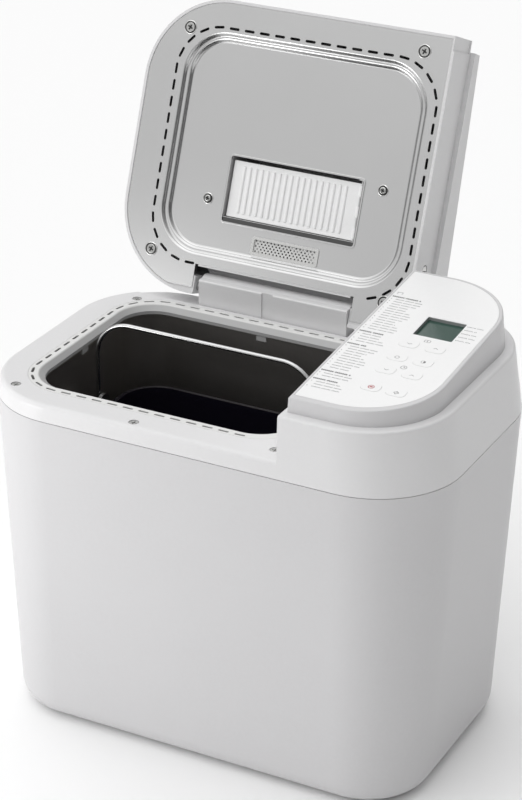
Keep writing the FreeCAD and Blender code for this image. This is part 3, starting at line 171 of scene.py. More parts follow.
def brushed_group():
    """Fine parallel brushing along X with faint cloudy handling marks."""
    name = "Brushed metal"
    if name in bpy.data.node_groups:
        return bpy.data.node_groups[name]
    group, given, result = new_group(
        name,
        [("Pitch", "NodeSocketFloat", 0.4), ("Stretch", "NodeSocketFloat", 60.0),
         ("Rough low", "NodeSocketFloat", 0.25), ("Rough high", "NodeSocketFloat", 0.4)],
        [("Height", "NodeSocketFloat"), ("Roughness", "NodeSocketFloat"), ("Mask", "NodeSocketFloat")])
    place = add_node(group, "ShaderNodeTexCoord")
    scale = add_node(group, "ShaderNodeMath", operation="DIVIDE")
    scale.inputs[0].default_value = PER_METRE
    across = add_node(group, "ShaderNodeMath", operation="DIVIDE")
    vector = add_node(group, "ShaderNodeCombineXYZ")
    stretched = add_node(group, "ShaderNodeVectorMath", operation="MULTIPLY")
    lines = add_node(group, "ShaderNodeTexNoise", Scale=1.0, Detail=3.0, Roughness=0.7)
    cloud = add_node(group, "ShaderNodeTexNoise", Scale=CLOUD_SIZE, Detail=4.0, Roughness=0.6)
    both = add_node(group, "ShaderNodeMath", operation="MULTIPLY")
    rough = add_node(group, "ShaderNodeMapRange")
    join(group, given.outputs["Pitch"], scale.inputs[1])
    join(group, scale.outputs[0], across.inputs[0])
    join(group, given.outputs["Stretch"], across.inputs[1])
    join(group, across.outputs[0], vector.inputs["X"])
    join(group, scale.outputs[0], vector.inputs["Y"])
    join(group, scale.outputs[0], vector.inputs["Z"])
    join(group, place.outputs["Object"], stretched.inputs[0])
    join(group, vector.outputs[0], stretched.inputs[1])
    join(group, stretched.outputs[0], lines.inputs["Vector"])
    join(group, place.outputs["Object"], cloud.inputs["Vector"])
    join(group, lines.outputs["Fac"], both.inputs[0])
    join(group, cloud.outputs["Fac"], both.inputs[1])
    join(group, lines.outputs["Fac"], result.inputs["Height"])
    join(group, both.outputs[0], rough.inputs["Value"])
    join(group, given.outputs["Rough low"], rough.inputs["To Min"])
    join(group, given.outputs["Rough high"], rough.inputs["To Max"])
    join(group, rough.outputs["Result"], result.inputs["Roughness"])
    join(group, cloud.outputs["Fac"], result.inputs["Mask"])
    return group


def shade(colour, share):
    """A colour with alpha, times a share that makes it darker."""
    return tuple(v * share for v in colour[:3]) + (1.0,)


def start_material(name, **sockets):
    """A material with its Principled shader; sockets set values that are the same all over."""
    material = bpy.data.materials.new(name)
    material.use_nodes = True
    tree = material.node_tree
    tree.nodes.clear()
    shader = add_node(tree, "ShaderNodeBsdfPrincipled", **sockets)
    output = add_node(tree, "ShaderNodeOutputMaterial")
    join(tree, shader.outputs["BSDF"], output.inputs["Surface"])
    return material, tree, shader


def use_group(tree, group, **values):
    """A group placed in a material with its own values."""
    made = tree.nodes.new("ShaderNodeGroup")
    made.node_tree = group
    for name, value in values.items():
        made.inputs[name.replace("_", " ")].default_value = value
    return made


def bump(tree, shader, height, strength, distance):
    """Bump from a height into the shader's normal."""
    made = add_node(tree, "ShaderNodeBump", Strength=strength, Distance=distance)
    join(tree, height, made.inputs["Height"])
    join(tree, made.outputs["Normal"], shader.inputs["Normal"])


def plastic(name, colour, rough, pitch=0.5, depth=0.03, dark=0.93, coat=0.0):
    """Moulded plastic with a fine grain and a slow drift of tone; pitch and depth in millimetres."""
    material, tree, shader = start_material(name, IOR=1.48, Coat_Weight=coat, Coat_Roughness=0.12)
    drift = use_group(tree, drift_group(), Light=shade(colour, 1.0), Dark=shade(colour, dark),
                      Size=DRIFT_SIZE)
    grain = use_group(tree, grain_group(), Pitch=pitch, Rough_low=rough[0], Rough_high=rough[1])
    join(tree, drift.outputs["Color"], shader.inputs["Base Color"])
    join(tree, grain.outputs["Roughness"], shader.inputs["Roughness"])
    bump(tree, shader, grain.outputs["Height"], GRAIN_BUMP, depth * MM)
    return material


def metal(name, colour, rough, pitch=0.4, stretch=60.0, depth=0.02, dark=0.85):
    """Metal with fine brushing and cloudy handling marks; pitch and depth are in millimetres."""
    material, tree, shader = start_material(name, Metallic=1.0)
    brushed = use_group(tree, brushed_group(), Pitch=pitch, Stretch=stretch,
                        Rough_low=rough[0], Rough_high=rough[1])
    mix = add_node(tree, "ShaderNodeMix", data_type="RGBA")
    mix.inputs["A"].default_value = shade(colour, 1.0)
    mix.inputs["B"].default_value = shade(colour, dark)
    join(tree, brushed.outputs["Mask"], mix.inputs["Factor"])
    join(tree, mix.outputs["Result"], shader.inputs["Base Color"])
    join(tree, brushed.outputs["Roughness"], shader.inputs["Roughness"])
    bump(tree, shader, brushed.outputs["Height"], BRUSH_BUMP, depth * MM)
    return material


def ring_plastic(name, colour, slope, rough):
    """Plastic of the oven's ring: white on the flat, grey on the slope that falls to the opening."""
    material = plastic(name, colour, rough)
    tree = material.node_tree
    shader = next(n for n in tree.nodes if n.type == "BSDF_PRINCIPLED")
    tone = shader.inputs["Base Color"].links[0].from_socket
    place = add_node(tree, "ShaderNodeTexCoord")
    split = add_node(tree, "ShaderNodeSeparateXYZ")
    fall = add_node(tree, "ShaderNodeMapRange")
    fall.inputs["From Min"].default_value = DECK_Z - SLOPE_FULL
    fall.inputs["From Max"].default_value = DECK_Z - SLOPE_TOP
    mix = add_node(tree, "ShaderNodeMix", data_type="RGBA")
    mix.inputs["A"].default_value = shade(slope, 1.0)
    join(tree, place.outputs["Object"], split.inputs[0])
    join(tree, split.outputs["Z"], fall.inputs["Value"])
    join(tree, fall.outputs["Result"], mix.inputs["Factor"])
    join(tree, tone, mix.inputs["B"])
    join(tree, mix.outputs["Result"], shader.inputs["Base Color"])
    return material


# ---- finishes -----------------------------------------------------------------------------------
def finishes():
    """Every material slot of the record and the material that finishes it."""
    return {
        "body_white": plastic("Body white", (0.635, 0.63, 0.638), (0.34, 0.44)),
        "cover_white": plastic("Cover white", (0.735, 0.732, 0.737), (0.28, 0.38)),
        "ring_grey": ring_plastic("Ring white", (0.74, 0.74, 0.73), (0.42, 0.42, 0.42), (0.35, 0.45)),
        "overlay_white": plastic("Panel sheet", (0.90, 0.90, 0.90), (0.28, 0.34), 0.3, 0.01),
        "key_white": plastic("Key white", (0.90, 0.90, 0.90), (0.35, 0.45)),
        "display_green": plastic("Display", (0.028, 0.072, 0.056), (0.16, 0.22), 0.3, 0.002, coat=0.5),
        "bezel_grey": plastic("Bezel grey", (0.30, 0.31, 0.31), (0.35, 0.45)),
        "rubber_dark": plastic("Rubber", (0.03, 0.03, 0.03), (0.6, 0.75), 0.8, 0.06),
        "lid_aluminium": metal("Lid plate", (0.63, 0.63, 0.63), (0.24, 0.30), 0.12, 25.0, 0.0006, 0.94),
        "chamber_steel": metal("Oven steel", (0.44, 0.42, 0.40), (0.38, 0.5), 0.6, 20.0, 0.004),
        "sheet_steel": metal("Sheet steel", (0.6, 0.6, 0.6), (0.3, 0.42), depth=0.004),
        "screw_steel": metal("Screw steel", (0.58, 0.58, 0.57), (0.16, 0.24), depth=0.003),
        "heater_steel": metal("Heater tube", (0.12, 0.11, 0.105), (0.4, 0.55), depth=0.01),
        "nonstick_dark": plastic("Non-stick coat", (0.007, 0.006, 0.011), (0.16, 0.24), 0.35, 0.003,
                                 0.9),
        "pan_aluminium": metal("Pan metal", (0.32, 0.32, 0.32), (0.3, 0.45), depth=0.006),
        "bail_chrome": metal("Handle wire", (0.62, 0.62, 0.62), (0.2, 0.28), 0.3, 10.0, 0.002),
        "grille_light": plastic("Grille paint", (0.68, 0.68, 0.67), (0.3, 0.4)),
        "cast_alloy": metal("Cast alloy", (0.50, 0.50, 0.50), (0.4, 0.6), 1.2, 1.0, 0.06),
        "bush_bronze": metal("Bush bronze", (0.50, 0.33, 0.14), (0.35, 0.5), depth=0.008),
        "motor_dark": plastic("Motor lacquer", (0.06, 0.06, 0.065), (0.35, 0.5)),
        "pulley_black": plastic("Pulley black", (0.03, 0.03, 0.03), (0.4, 0.5)),
        "belt_black": plastic("Belt rubber", (0.015, 0.015, 0.015), (0.6, 0.7), 0.8, 0.05),
        "board_green": plastic("Circuit board", (0.03, 0.14, 0.06), (0.3, 0.5)),
        "coil_wrap": plastic("Coil wrap", (0.42, 0.28, 0.06), (0.35, 0.5)),
    }


def dress_nodes():
    """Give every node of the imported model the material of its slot."""
    made = finishes()
    for entry in frame["record"]["subparts"]:
        node = frame["nodes"][entry["node"]]
        node.data.materials.clear()
        node.data.materials.append(made[entry["material_slot"]])


# ---- modelling helpers --------------------------------------------------------------------------
def only(piece):
    """Make one object the selected and active one."""
    if bpy.context.object and bpy.context.object.mode != "OBJECT":
        bpy.ops.object.mode_set(mode="OBJECT")
    bpy.ops.object.select_all(action="DESELECT")
    piece.select_set(True)
    bpy.context.view_layer.objects.active = piece
    return piece


def clear_selection():
    """Select nothing, so that an operator acts on the new piece alone."""
    bpy.ops.object.select_all(action="DESELECT")


def apply_place(piece):
    """Put a piece's place, turn and size into its mesh."""
    only(piece)
    bpy.ops.object.transform_apply(location=True, rotation=True, scale=True)
    return piece


def bar(length, width, thick, bevel=0.35):
    """Flat bar with rounded corners, lying on the plane at the origin."""
    clear_selection()
    bpy.ops.mesh.primitive_cube_add(size=1.0, location=(0, 0, thick / 2), scale=(length, width, thick))
    piece = bpy.context.object
    bpy.ops.object.transform_apply(location=True, rotation=True, scale=True)
    bpy.ops.object.mode_set(mode="EDIT")
    bpy.ops.mesh.select_all(action="DESELECT")
    bpy.ops.object.mode_set(mode="OBJECT")
    for edge in piece.data.edges:
        first, second = (piece.data.vertices[i].co for i in edge.vertices)
        edge.select = abs(first.z - second.z) > thick / 2
    bpy.ops.object.mode_set(mode="EDIT")
    bpy.ops.mesh.select_mode(type="EDGE")
    bpy.ops.mesh.bevel(offset=bevel * min(length, width), segments=2)
    bpy.ops.object.mode_set(mode="OBJECT")
    return piece


def ring(outer, inner, thick, turns=40):
    """Flat ring, lying on the plane at the origin."""
    clear_selection()
    bpy.ops.mesh.primitive_cylinder_add(vertices=turns, radius=outer, depth=thick,
                                        location=(0, 0, thick / 2), end_fill_type="NGON")
    piece = bpy.context.object
    bpy.ops.object.transform_apply(location=True, rotation=True, scale=True)
    bpy.ops.object.mode_set(mode="EDIT")
    bpy.ops.mesh.select_all(action="DESELECT")
    bpy.ops.object.mode_set(mode="OBJECT")
    for face in piece.data.polygons:
        face.select = abs(face.normal.z) > 0.9
    bpy.ops.object.mode_set(mode="EDIT")
    bpy.ops.mesh.select_mode(type="FACE")
    bpy.ops.mesh.inset(thickness=outer - inner)
    bpy.ops.mesh.bridge_edge_loops()
    bpy.ops.mesh.select_all(action="SELECT")
    bpy.ops.mesh.normals_make_consistent(inside=False)
    bpy.ops.object.mode_set(mode="OBJECT")
    return piece


def copies(master, places):
    """Copies of a piece with their own meshes; a place is (x, y), or (x, y, turn, stretch)."""
    made = []
    for place in places:
        x, y = place[:2]
        turn = place[2] if len(place) > 2 else 0.0
        stretch = place[3] if len(place) > 3 else 1.0
        piece = master.copy()
        piece.data = master.data.copy()
        bpy.context.scene.collection.objects.link(piece)
        piece.matrix_world = (Matrix.Translation((x, y, 0.0)) @ Matrix.Rotation(turn, 4, "Z")
                              @ Matrix.Diagonal((stretch, 1.0, 1.0, 1.0)))
        made.append(piece)
    return made


def merged(name, pieces):
    """Join pieces into one mesh at the origin."""
    clear_selection()
    for piece in pieces:
        piece.select_set(True)
    bpy.context.view_layer.objects.active = pieces[0]
    if len(pieces) > 1:
        bpy.ops.object.join()
    piece = bpy.context.object
    piece.name = name
    piece.data.name = name
    return apply_place(piece)


def onto_panel(piece, lift=0.0):
    """Move a mesh made on the level plane onto the sloping sheet."""
    up = -PRESS
    base = SHEET_HIGH.z - SLOPE * SHEET_HIGH.y
    piece.data.transform(Matrix(((1, 0, up.x, up.x * lift), (0, 1, up.y, up.y * lift),
                                 (0, SLOPE, up.z, base + up.z * lift), (0, 0, 0, 1))))
    return piece


def finish_piece(piece, body, material):
    """Give a finished piece its material and body."""
    piece.data.materials.clear()
    piece.data.materials.append(material)
    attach(piece, body)
    return piece


# ---- printed marks ------------------------------------------------------------------------------
INK = 0.04 * MM                     # thickness of a printed mark
ROW_PITCH, GROUP_GAP = 3.85 * MM, 5.7 * MM
LIST_TOP, LIST_LEFT, TEXT_LEFT = 61.0 * MM, 84.6 * MM, 88.8 * MM
LIST_GROUPS = (14, 4, 10, 2, 3)     # rows under each heading
LABEL_TOP, LABEL_PITCH, LABEL_LEFT, LABEL_ROWS = 38.6 * MM, 5.7 * MM, 156.8 * MM, 5
KEY_TOP = 0.15 * MM                 # key faces over the sheet
HEAD_LETTER, ROW_LETTER = 1.0 * MM, 0.72 * MM   # spacing of the strokes in a heading and in a row
HEAD_STROKE, ROW_STROKE = (0.9 * MM, 1.35 * MM), (0.62 * MM, 1.0 * MM)
NUMBER_IN = 0.6 * MM                # where a row's number stands, from the list's left
FINE, LINE = 0.38 * MM, 0.42 * MM   # widths of the marks' lines
BOOKS = ((138.6, 7.4), (138.6, 4.4), (88.0, 68.6))      # the marks' places are in millimetres
BOOK_SIDES = ((136.3, 5.9), (138.6, 5.9), (140.9, 5.9), (86.0, 67.2), (90.0, 67.2))
CLOCK = (138.8, -37.1)
CHEVRONS = {"select_down": (127.7, -2.8), "select_up": (149.0, -2.2),
            "timer_down": (128.3, -45.3), "timer_up": (149.2, -45.6)}
SIZE_MARK, CRUST_MARK = (127.9, -25.2), (148.7, -24.2)
STOP_MARK, START_MARK = (129.1, -72.5), (149.3, -73.0)
DIAMOND = ((-1.0, 1.0, 45), (1.0, 1.0, -45), (-1.0, -1.0, -45), (1.0, -1.0, 45), (0.0, 0.0, 45))


def word_places(left, y, length, letter):
    """Short strokes that stand for a line of words."""
    places, x, count = [], left, 0
    while x < left + length:
        places.append((x + 0.5 * letter, y))
        count += 1
        x += letter * (1.45 if count % 7 else 2.6)
    return places


def list_places():
    """Places of every stroke of the programme list: headings, numbers and lines."""
    heads, rows = [], []
    y, line = LIST_TOP, 0
    for group, count in enumerate(LIST_GROUPS):
        heads += word_places(LIST_LEFT, y, (23.0 - 4.0 * (group % 3)) * MM, HEAD_LETTER)
        for row in range(count):
            y -= ROW_PITCH
            line += 1
            if line % 4:
                rows.append((LIST_LEFT + NUMBER_IN, y))
            length = (13.0 + 9.0 * abs(math.sin(1.9 * line + 0.7 * row))) * MM
            rows += word_places(TEXT_LEFT, y, length, ROW_LETTER)
        y -= GROUP_GAP
    return heads, rows


def label_places():
    """Places of the strokes of the labels beside the display."""
    places = []
    for row in range(LABEL_ROWS):
        length = (9.0 + 4.0 * abs(math.sin(2.3 * row + 1.0))) * MM
        places += word_places(LABEL_LEFT, LABEL_TOP - row * LABEL_PITCH, length, ROW_LETTER)
    return places


def stamped(master, places):
    """Copies of a mark's part at places in millimetres; the part itself is removed."""
    made = copies(master, [(x * MM, y * MM, *rest) for x, y, *rest in places])
    bpy.data.objects.remove(master)
    return made


def chevron(x, y, up):
    """Two strokes that meet in a point."""
    lean = math.radians(35 if up else -35)
    return stamped(bar(2.3 * MM, LINE, INK), [(x - 0.85, y, lean), (x + 0.85, y, -lean)])


def circle(place, outer, inner):
    """A thin ring round a place; all in millimetres."""
    return stamped(ring(outer * MM, inner * MM, INK), [place])


def programme_list():
    """The list of programmes and the labels beside the display."""
    heads, rows = list_places()
    rows += label_places()
    bold, fine = bar(*HEAD_STROKE, INK), bar(*ROW_STROKE, INK)
    strokes = copies(bold, heads) + copies(fine, rows)
    for master in (bold, fine):
        bpy.data.objects.remove(master)
    return strokes


def panel_marks():
    """The open books over the keys and the list, and the clock between the keys."""
    x, y = CLOCK
    sides = [(*place, math.pi / 2) for place in BOOK_SIDES]
    hands = [(x, y + 0.7, math.pi / 2, 0.5), (x + 0.6, y, 0.0, 0.5)]
    return (stamped(bar(4.6 * MM, FINE, INK), BOOKS) + circle(CLOCK, 2.5, 2.1)
            + stamped(bar(3.0 * MM, FINE, INK), sides + hands))


def key_marks():
    """Each key's name and the parts of its mark."""
    marks = {key: chevron(*place, key.endswith("up")) for key, place in CHEVRONS.items()}
    x, y = CRUST_MARK
    marks["size"] = circle(SIZE_MARK, 1.9, 1.5)
    marks["crust"] = circle(CRUST_MARK, 1.9, 1.55) + stamped(bar(1.3 * MM, 2.6 * MM, INK, 0.45),
                                                             [(x + 0.8, y)])
    marks["stop"] = circle(STOP_MARK, 2.5, 1.9) + stamped(bar(2.6 * MM, 1.5 * MM, INK), [STOP_MARK])
    x, y = START_MARK
    marks["start"] = stamped(bar(3.2 * MM, LINE, INK),
                             [(x + dx, y + dy, math.radians(turn)) for dx, dy, turn in DIAMOND])
    return marks


class BreadPrintSettings(bpy.types.PropertyGroup):
    """Colours of the printed marks."""
    ink: bpy.props.FloatVectorProperty(name="Ink", description="Grey of the printed marks", size=3,
                                       min=0, max=1, default=(0.20, 0.20, 0.205), subtype="COLOR")
    stop: bpy.props.FloatVectorProperty(name="Stop ink", description="Red of the stop mark", size=3,
                                        min=0, max=1, default=(0.42, 0.06, 0.07), subtype="COLOR")


class BREAD_OT_print(bpy.types.Operator):
    """Print the programme list, the labels and the key marks"""
    bl_idname = "bread.print_marks"
    bl_label = "Printed marks"

    def execute(self, context):
        settings = context.scene.bread_print
        grey = plastic("Grey ink", settings.ink, (0.5, 0.6), 0.3, 0.004)
        red = plastic("Red ink", settings.stop, (0.5, 0.6), 0.3, 0.004)
        for name, strokes in (("programme_list", programme_list()), ("panel_marks", panel_marks())):
            finish_piece(onto_panel(merged(name, strokes)), "body", grey)
        for key, strokes in key_marks().items():
            piece = onto_panel(merged("mark_" + key, strokes), KEY_TOP)
            finish_piece(piece, "key_" + key, red if key == "stop" else grey)
        return {"FINISHED"}


# ---- lid screws, with painted shade in their gaps, and the strips by the flap -------------------
PLATE_Z = 291.8 * MM                # inner face of the closed lid's plate
DISH_Z = PLATE_Z + 5.5 * MM         # floor of its dish
RIM_SCREWS = ((-157.4, -94.4), (51.3, -105.6), (-160.4, 91.4), (54.0, 96.0))
DISH_SCREWS = ((-118.5, 41.4), (34.7, 8.4))
RIM_HEAD, RIM_PROUD = 3.9 * MM, 0.55 * MM       # screw heads: radius, and how far they stand
DISH_HEAD, DISH_PROUD = 2.9 * MM, 1.6 * MM
CUP_OUT, CUP_SECTION = 1.45 * MM, 0.42 * MM     # cup ring: distance from the head, and half its width
# The dark ring round each head is painted shade in the gap between head and plate.
SHADE_RING_OUT, SHADE_RING_IN = 1.2 * MM, 0.05 * MM           # dark gap: its edges' distances from the head
SHADE_RING_THICK, SHADE_RING_PROUD = 0.16 * MM, 0.12 * MM
# The crosses are dark bars on the heads: painted shade of their cross recesses.
CROSS_LONG, CROSS_WIDE = 1.24, 0.3              # shares of the head's radius
CROSS_THICK, CROSS_PROUD, CROSS_TURN = 0.3 * MM, 0.03 * MM, 0.5
SIDE_SCREW = Vector((74.65, 66.8, 311.0)) * MM  # floor of the recess in the lid's right wall
# The side screw's dark ring and slot bar are painted shade in the gap round its cap and in its slot.
SIDE_OUTER, SIDE_INNER, SIDE_THICK = 5.5 * MM, 4.65 * MM, 0.35 * MM     # gap round its cap
SIDE_SLOT = (6.6 * MM, 1.2 * MM, 1.43 * MM)     # slot in its cap: length, width, thickness
# Two dark strips by the flap: a long band below it, and a narrow one beside it that is painted shade in the gap.
FLAP_BAND_AND_GAP_SHADE = ((-42.9, 55.75, 120.4, 3.7), (16.7, 30.2, 1.1, 54.0))  # middle x, y, length and width
FLAP_STRIP_LEVEL, FLAP_STRIP_THICK = DISH_Z + 0.72 * MM, 0.16 * MM


def cup_ring(radius, section, z):
    """Rounded ring that lies round a screw head, spun from its section."""
    clear_selection()
    bpy.ops.mesh.primitive_circle_add(vertices=12, radius=section, location=(radius, 0, 0),
                                      rotation=(math.pi / 2, 0, 0), fill_type="NOTHING")
    piece = bpy.context.object
    bpy.ops.object.transform_apply(location=True, rotation=True, scale=True)
    bpy.ops.object.mode_set(mode="EDIT")
    bpy.ops.mesh.select_all(action="SELECT")
    bpy.ops.mesh.spin(steps=40, angle=2 * math.pi, center=(0, 0, 0), axis=(0, 0, 1))
    bpy.ops.mesh.select_all(action="SELECT")
    bpy.ops.mesh.remove_doubles(threshold=1e-6)
    bpy.ops.mesh.normals_make_consistent(inside=False)
    bpy.ops.object.mode_set(mode="OBJECT")
    piece.data.transform(Matrix.Translation((0, 0, z)))
    bpy.ops.object.shade_smooth()
    return piece


def screw_parts(head, proud, z, places):
    """Cup rings, and dark rings and crosses that are painted shade in the gaps and cross recesses, of screws that
    are alike.
    """
    spots = [(x * MM, y * MM) for x, y in places]
    bead = cup_ring(head + CUP_OUT, CUP_SECTION, z)
    shade_ring = ring(head + SHADE_RING_OUT, head + SHADE_RING_IN, SHADE_RING_THICK)
    shade_ring.data.transform(Matrix.Translation((0, 0, z - SHADE_RING_PROUD)))
    arm = bar(CROSS_LONG * head, CROSS_WIDE * head, CROSS_THICK, 0.2)
    arm.data.transform(Matrix.Translation((0, 0, z - proud - CROSS_PROUD)))
    turns = (CROSS_TURN, CROSS_TURN + math.pi / 2)
    cups = copies(bead, spots)
    dark = copies(shade_ring, spots) + copies(arm, [(x, y, turn) for x, y in spots for turn in turns])
    for master in (bead, shade_ring, arm):
        bpy.data.objects.remove(master)
    return cups, dark


def side_screw_parts():
    """Dark ring and bar of painted shade in the gap round the side screw's cap and in its slot."""
    outwards = Matrix.Translation(SIDE_SCREW) @ Matrix.Rotation(math.pi / 2, 4, "Y")
    parts = [ring(SIDE_OUTER, SIDE_INNER, SIDE_THICK), bar(*SIDE_SLOT, 0.1)]
    for part in parts:
        part.data.transform(outwards)
    return parts


def flap_band_and_shade_parts():
    """Dark strips below and beside the dispenser's flap; the narrow one beside it is painted shade in the gap."""
    parts = []
    for x, y, length, width in FLAP_BAND_AND_GAP_SHADE:
        edge = bar(length * MM, width * MM, FLAP_STRIP_THICK, 0.05)
        edge.data.transform(Matrix.Translation((x * MM, y * MM, FLAP_STRIP_LEVEL)))
        parts.append(edge)
    return parts


class BREAD_OT_screw_cups(bpy.types.Operator):
    """Add the rounded cups of the lid's screws with painted shade in their gaps and cross recesses, and the dark
    strips by its flap, one of them painted shade in a gap
    """
    bl_idname = "bread.screw_cups"
    bl_label = "Screw cups"

    def execute(self, context):
        steel = metal("Cup steel", (0.80, 0.80, 0.79), (0.12, 0.2), depth=0.002)
        dark = plastic("Screw gap shade", (0.02, 0.02, 0.02), (0.5, 0.6), 0.4, 0.004)
        band_and_gap_shade = plastic("Flap band and gap shade", (0.07, 0.07, 0.07), (0.2, 0.3), 0.4, 0.004)
        rim_cups, rim_shade = screw_parts(RIM_HEAD, RIM_PROUD, PLATE_Z, RIM_SCREWS)
        dish_cups, dish_shade = screw_parts(DISH_HEAD, DISH_PROUD, DISH_Z, DISH_SCREWS)
        gap_shade_parts = rim_shade + dish_shade + side_screw_parts()
        for name, parts, slot, material in (
                ("screw_cups", rim_cups + dish_cups, "screw_steel", steel),
                ("screw_gaps", gap_shade_parts, "rubber_dark", dark),
                ("flap_edges", flap_band_and_shade_parts(), "rubber_dark", band_and_gap_shade)):
            piece = merged(name, parts)
            piece.data.transform(LID_TURN)
            finish_piece(piece, "lid", material)
        return {"FINISHED"}


# ---- stage --------------------------------------------------------------------------------------
FLOOR_WIDTH = 12.0
KEY_PLACE, KEY_AIM = Vector((-0.50, -0.52, 0.24)), Vector((-0.16, -0.12, 0.26))
KEY_SIZE, KEY_SPREAD = 0.30, math.radians(95)
GLOW_FROM = Vector((-0.62, -0.60, 0.50)).normalized()   # where the wide front glow comes from
SENSOR, FAR = 36.0, 50.0            # camera's sensor in millimetres, and how far it sees


class BreadStageSettings(bpy.types.PropertyGroup):
    """Floor, light and camera."""
    azimuth: bpy.props.FloatProperty(name="Azimuth", description="Camera's turn to the right",
                                     default=math.radians(27.19), subtype="ANGLE")
    elevation: bpy.props.FloatProperty(name="Elevation", description="Camera's height as an angle",
                                       default=math.radians(25.80), subtype="ANGLE")
    roll: bpy.props.FloatProperty(name="Roll", description="Camera's lean", default=math.radians(0.49),
                                  subtype="ANGLE")
    place: bpy.props.FloatVectorProperty(name="Place", description="Camera's place",
                                         default=(0.81787, -1.58814, 1.13533), subtype="TRANSLATION")
    lens: bpy.props.FloatProperty(name="Lens", description="Focal length in millimetres", default=114.2)
    floor: bpy.props.FloatVectorProperty(name="Floor", description="Floor colour", size=3, min=0, max=1,
                                         default=(0.95, 0.95, 0.95), subtype="COLOR")
    base_light: bpy.props.FloatProperty(name="Base light", description="Light from all round",
                                        default=0.08)
    roof_light: bpy.props.FloatProperty(name="Roof light", description="Light from overhead",
                                        default=1.64)
    front_light: bpy.props.FloatProperty(name="Front light", description="Glow from the front left",
                                         default=0.24)
    key_light: bpy.props.FloatProperty(name="Key light", description="Power of the near soft box",
                                       default=0.40)
    right_loss: bpy.props.FloatProperty(name="Right loss", description="How much darker the right is",
                                        default=1.05)


def key_box(scene, power):
    """The near soft box, aimed at the lid's plate and the front's left."""
    data = bpy.data.lights.new("key", "AREA")
    data.shape = "RECTANGLE"
    data.size = data.size_y = KEY_SIZE
    data.energy = power
    data.spread = KEY_SPREAD
    light = bpy.data.objects.new("key", data)
    scene.collection.objects.link(light)
    light.location = KEY_PLACE
    light.rotation_euler = (KEY_AIM - KEY_PLACE).to_track_quat("-Z", "Y").to_euler()
    light.visible_camera = False


def studio_light(scene, settings):
    """A tent of soft light: bright overhead, a wide glow from the front left, darker on the right."""
    world = bpy.data.worlds.new("Studio")
    scene.world = world
    world.use_nodes = True
    tree = world.node_tree
    sky = tree.nodes["Background"]
    sky.inputs["Color"].default_value = (1.0, 1.0, 1.0, 1.0)
    way = add_node(tree, "ShaderNodeTexCoord")
    split = add_node(tree, "ShaderNodeSeparateXYZ")
    join(tree, way.outputs["Generated"], split.inputs[0])

    def math_node(operation, first, second):
        made = add_node(tree, "ShaderNodeMath", operation=operation)
        for socket, value in zip(made.inputs, (first, second)):
            if isinstance(value, (int, float)):
                socket.default_value = value
            else:
                join(tree, value, socket)
        return made.outputs[0]

    over = math_node("MAXIMUM", split.outputs["Z"], 0.0)
    right = math_node("MAXIMUM", split.outputs["X"], 0.0)
    loss = math_node("MULTIPLY", right, settings.right_loss)
    side = math_node("MAXIMUM", math_node("SUBTRACT", 1.0, loss), 0.0)
    roof = math_node("MULTIPLY", math_node("MULTIPLY", over, settings.roof_light), side)
    aim = add_node(tree, "ShaderNodeVectorMath", operation="DOT_PRODUCT")
    aim.inputs[1].default_value = GLOW_FROM
    join(tree, way.outputs["Generated"], aim.inputs[0])
    glow = math_node("POWER", math_node("MAXIMUM", aim.outputs["Value"], 0.0), 2.0)
    total = math_node("ADD", roof, math_node("MULTIPLY", glow, settings.front_light))
    join(tree, math_node("ADD", total, settings.base_light), sky.inputs["Strength"])


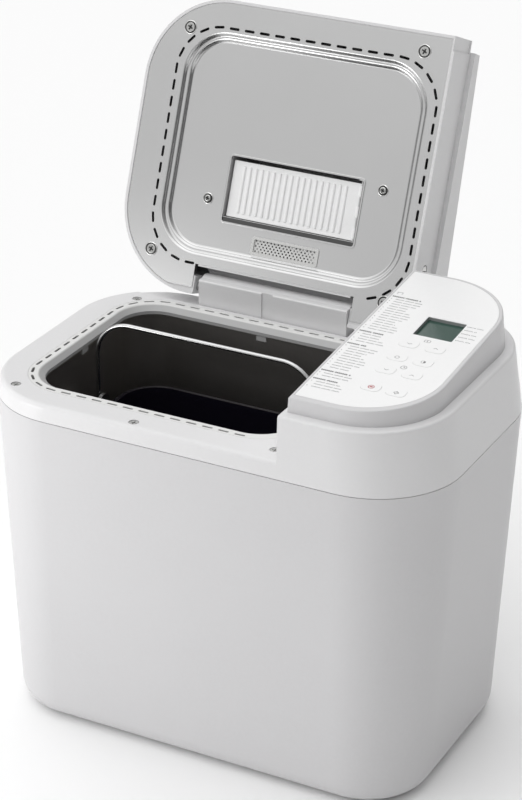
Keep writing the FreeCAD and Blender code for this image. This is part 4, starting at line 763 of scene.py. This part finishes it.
class BREAD_OT_stage(bpy.types.Operator):
    """Lay the floor, set the lights and the camera"""
    bl_idname = "bread.stage"
    bl_label = "Stage"

    def execute(self, context):
        settings = context.scene.bread_stage
        bpy.ops.object.select_all(action="DESELECT")
        bpy.ops.mesh.primitive_plane_add(size=FLOOR_WIDTH, location=(0, 0, 0))
        floor = context.active_object
        floor.name = "floor"
        material, tree, shader = start_material("Floor paper", Roughness=0.9)
        drift = use_group(tree, drift_group(), Light=shade(settings.floor, 1.0),
                          Dark=shade(settings.floor, 0.985), Size=FLOOR_DRIFT)
        join(tree, drift.outputs["Color"], shader.inputs["Base Color"])
        floor.data.materials.append(material)

        studio_light(context.scene, settings)
        key_box(context.scene, settings.key_light)

        data = bpy.data.cameras.new("camera")
        data.lens = settings.lens
        data.sensor_width = SENSOR
        data.clip_end = FAR
        camera = bpy.data.objects.new("camera", data)
        context.scene.collection.objects.link(camera)
        az, el, roll = settings.azimuth, settings.elevation, settings.roll
        ahead = Vector((-math.sin(az) * math.cos(el), math.cos(az) * math.cos(el), -math.sin(el)))
        right = Vector((math.cos(az), math.sin(az), 0.0))
        up = right.cross(ahead)
        right, up = (right * math.cos(roll) + up * math.sin(roll),
                     up * math.cos(roll) - right * math.sin(roll))
        turn = Matrix((right, up, -ahead)).transposed().to_4x4()
        camera.matrix_world = Matrix.Translation(Vector(settings.place)) @ turn
        context.scene.camera = camera
        context.scene.view_settings.view_transform = "Standard"
        return {"FINISHED"}


class BREAD_OT_finishes(bpy.types.Operator):
    """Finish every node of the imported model"""
    bl_idname = "bread.finishes"
    bl_label = "Finishes"

    def execute(self, context):
        dress_nodes()
        return {"FINISHED"}


STEPS = (BREAD_OT_finishes, BREAD_OT_print, BREAD_OT_screw_cups, BREAD_OT_stage)


class BREAD_PT_panel(bpy.types.Panel):
    """Buttons for every step"""
    bl_idname = "BREAD_PT_panel"
    bl_label = "Bread Machine"
    bl_space_type = "VIEW_3D"
    bl_region_type = "UI"
    bl_category = "Bread Machine"

    def draw(self, context):
        for step in STEPS:
            self.layout.operator(step.bl_idname)


SETTINGS = (("bread_stage", BreadStageSettings), ("bread_print", BreadPrintSettings))
CLASSES = tuple(kind for name, kind in SETTINGS) + STEPS + (BREAD_PT_panel,)


def register():
    for kind in CLASSES:
        bpy.utils.register_class(kind)
    for name, kind in SETTINGS:
        setattr(bpy.types.Scene, name, bpy.props.PointerProperty(type=kind))


def unregister():
    for name, kind in SETTINGS:
        delattr(bpy.types.Scene, name)
    for kind in reversed(CLASSES):
        bpy.utils.unregister_class(kind)


def main():
    register()
    for step in STEPS:
        area, name = step.bl_idname.split(".")
        getattr(getattr(bpy.ops, area), name)()


if __name__ == "__main__":
    main()
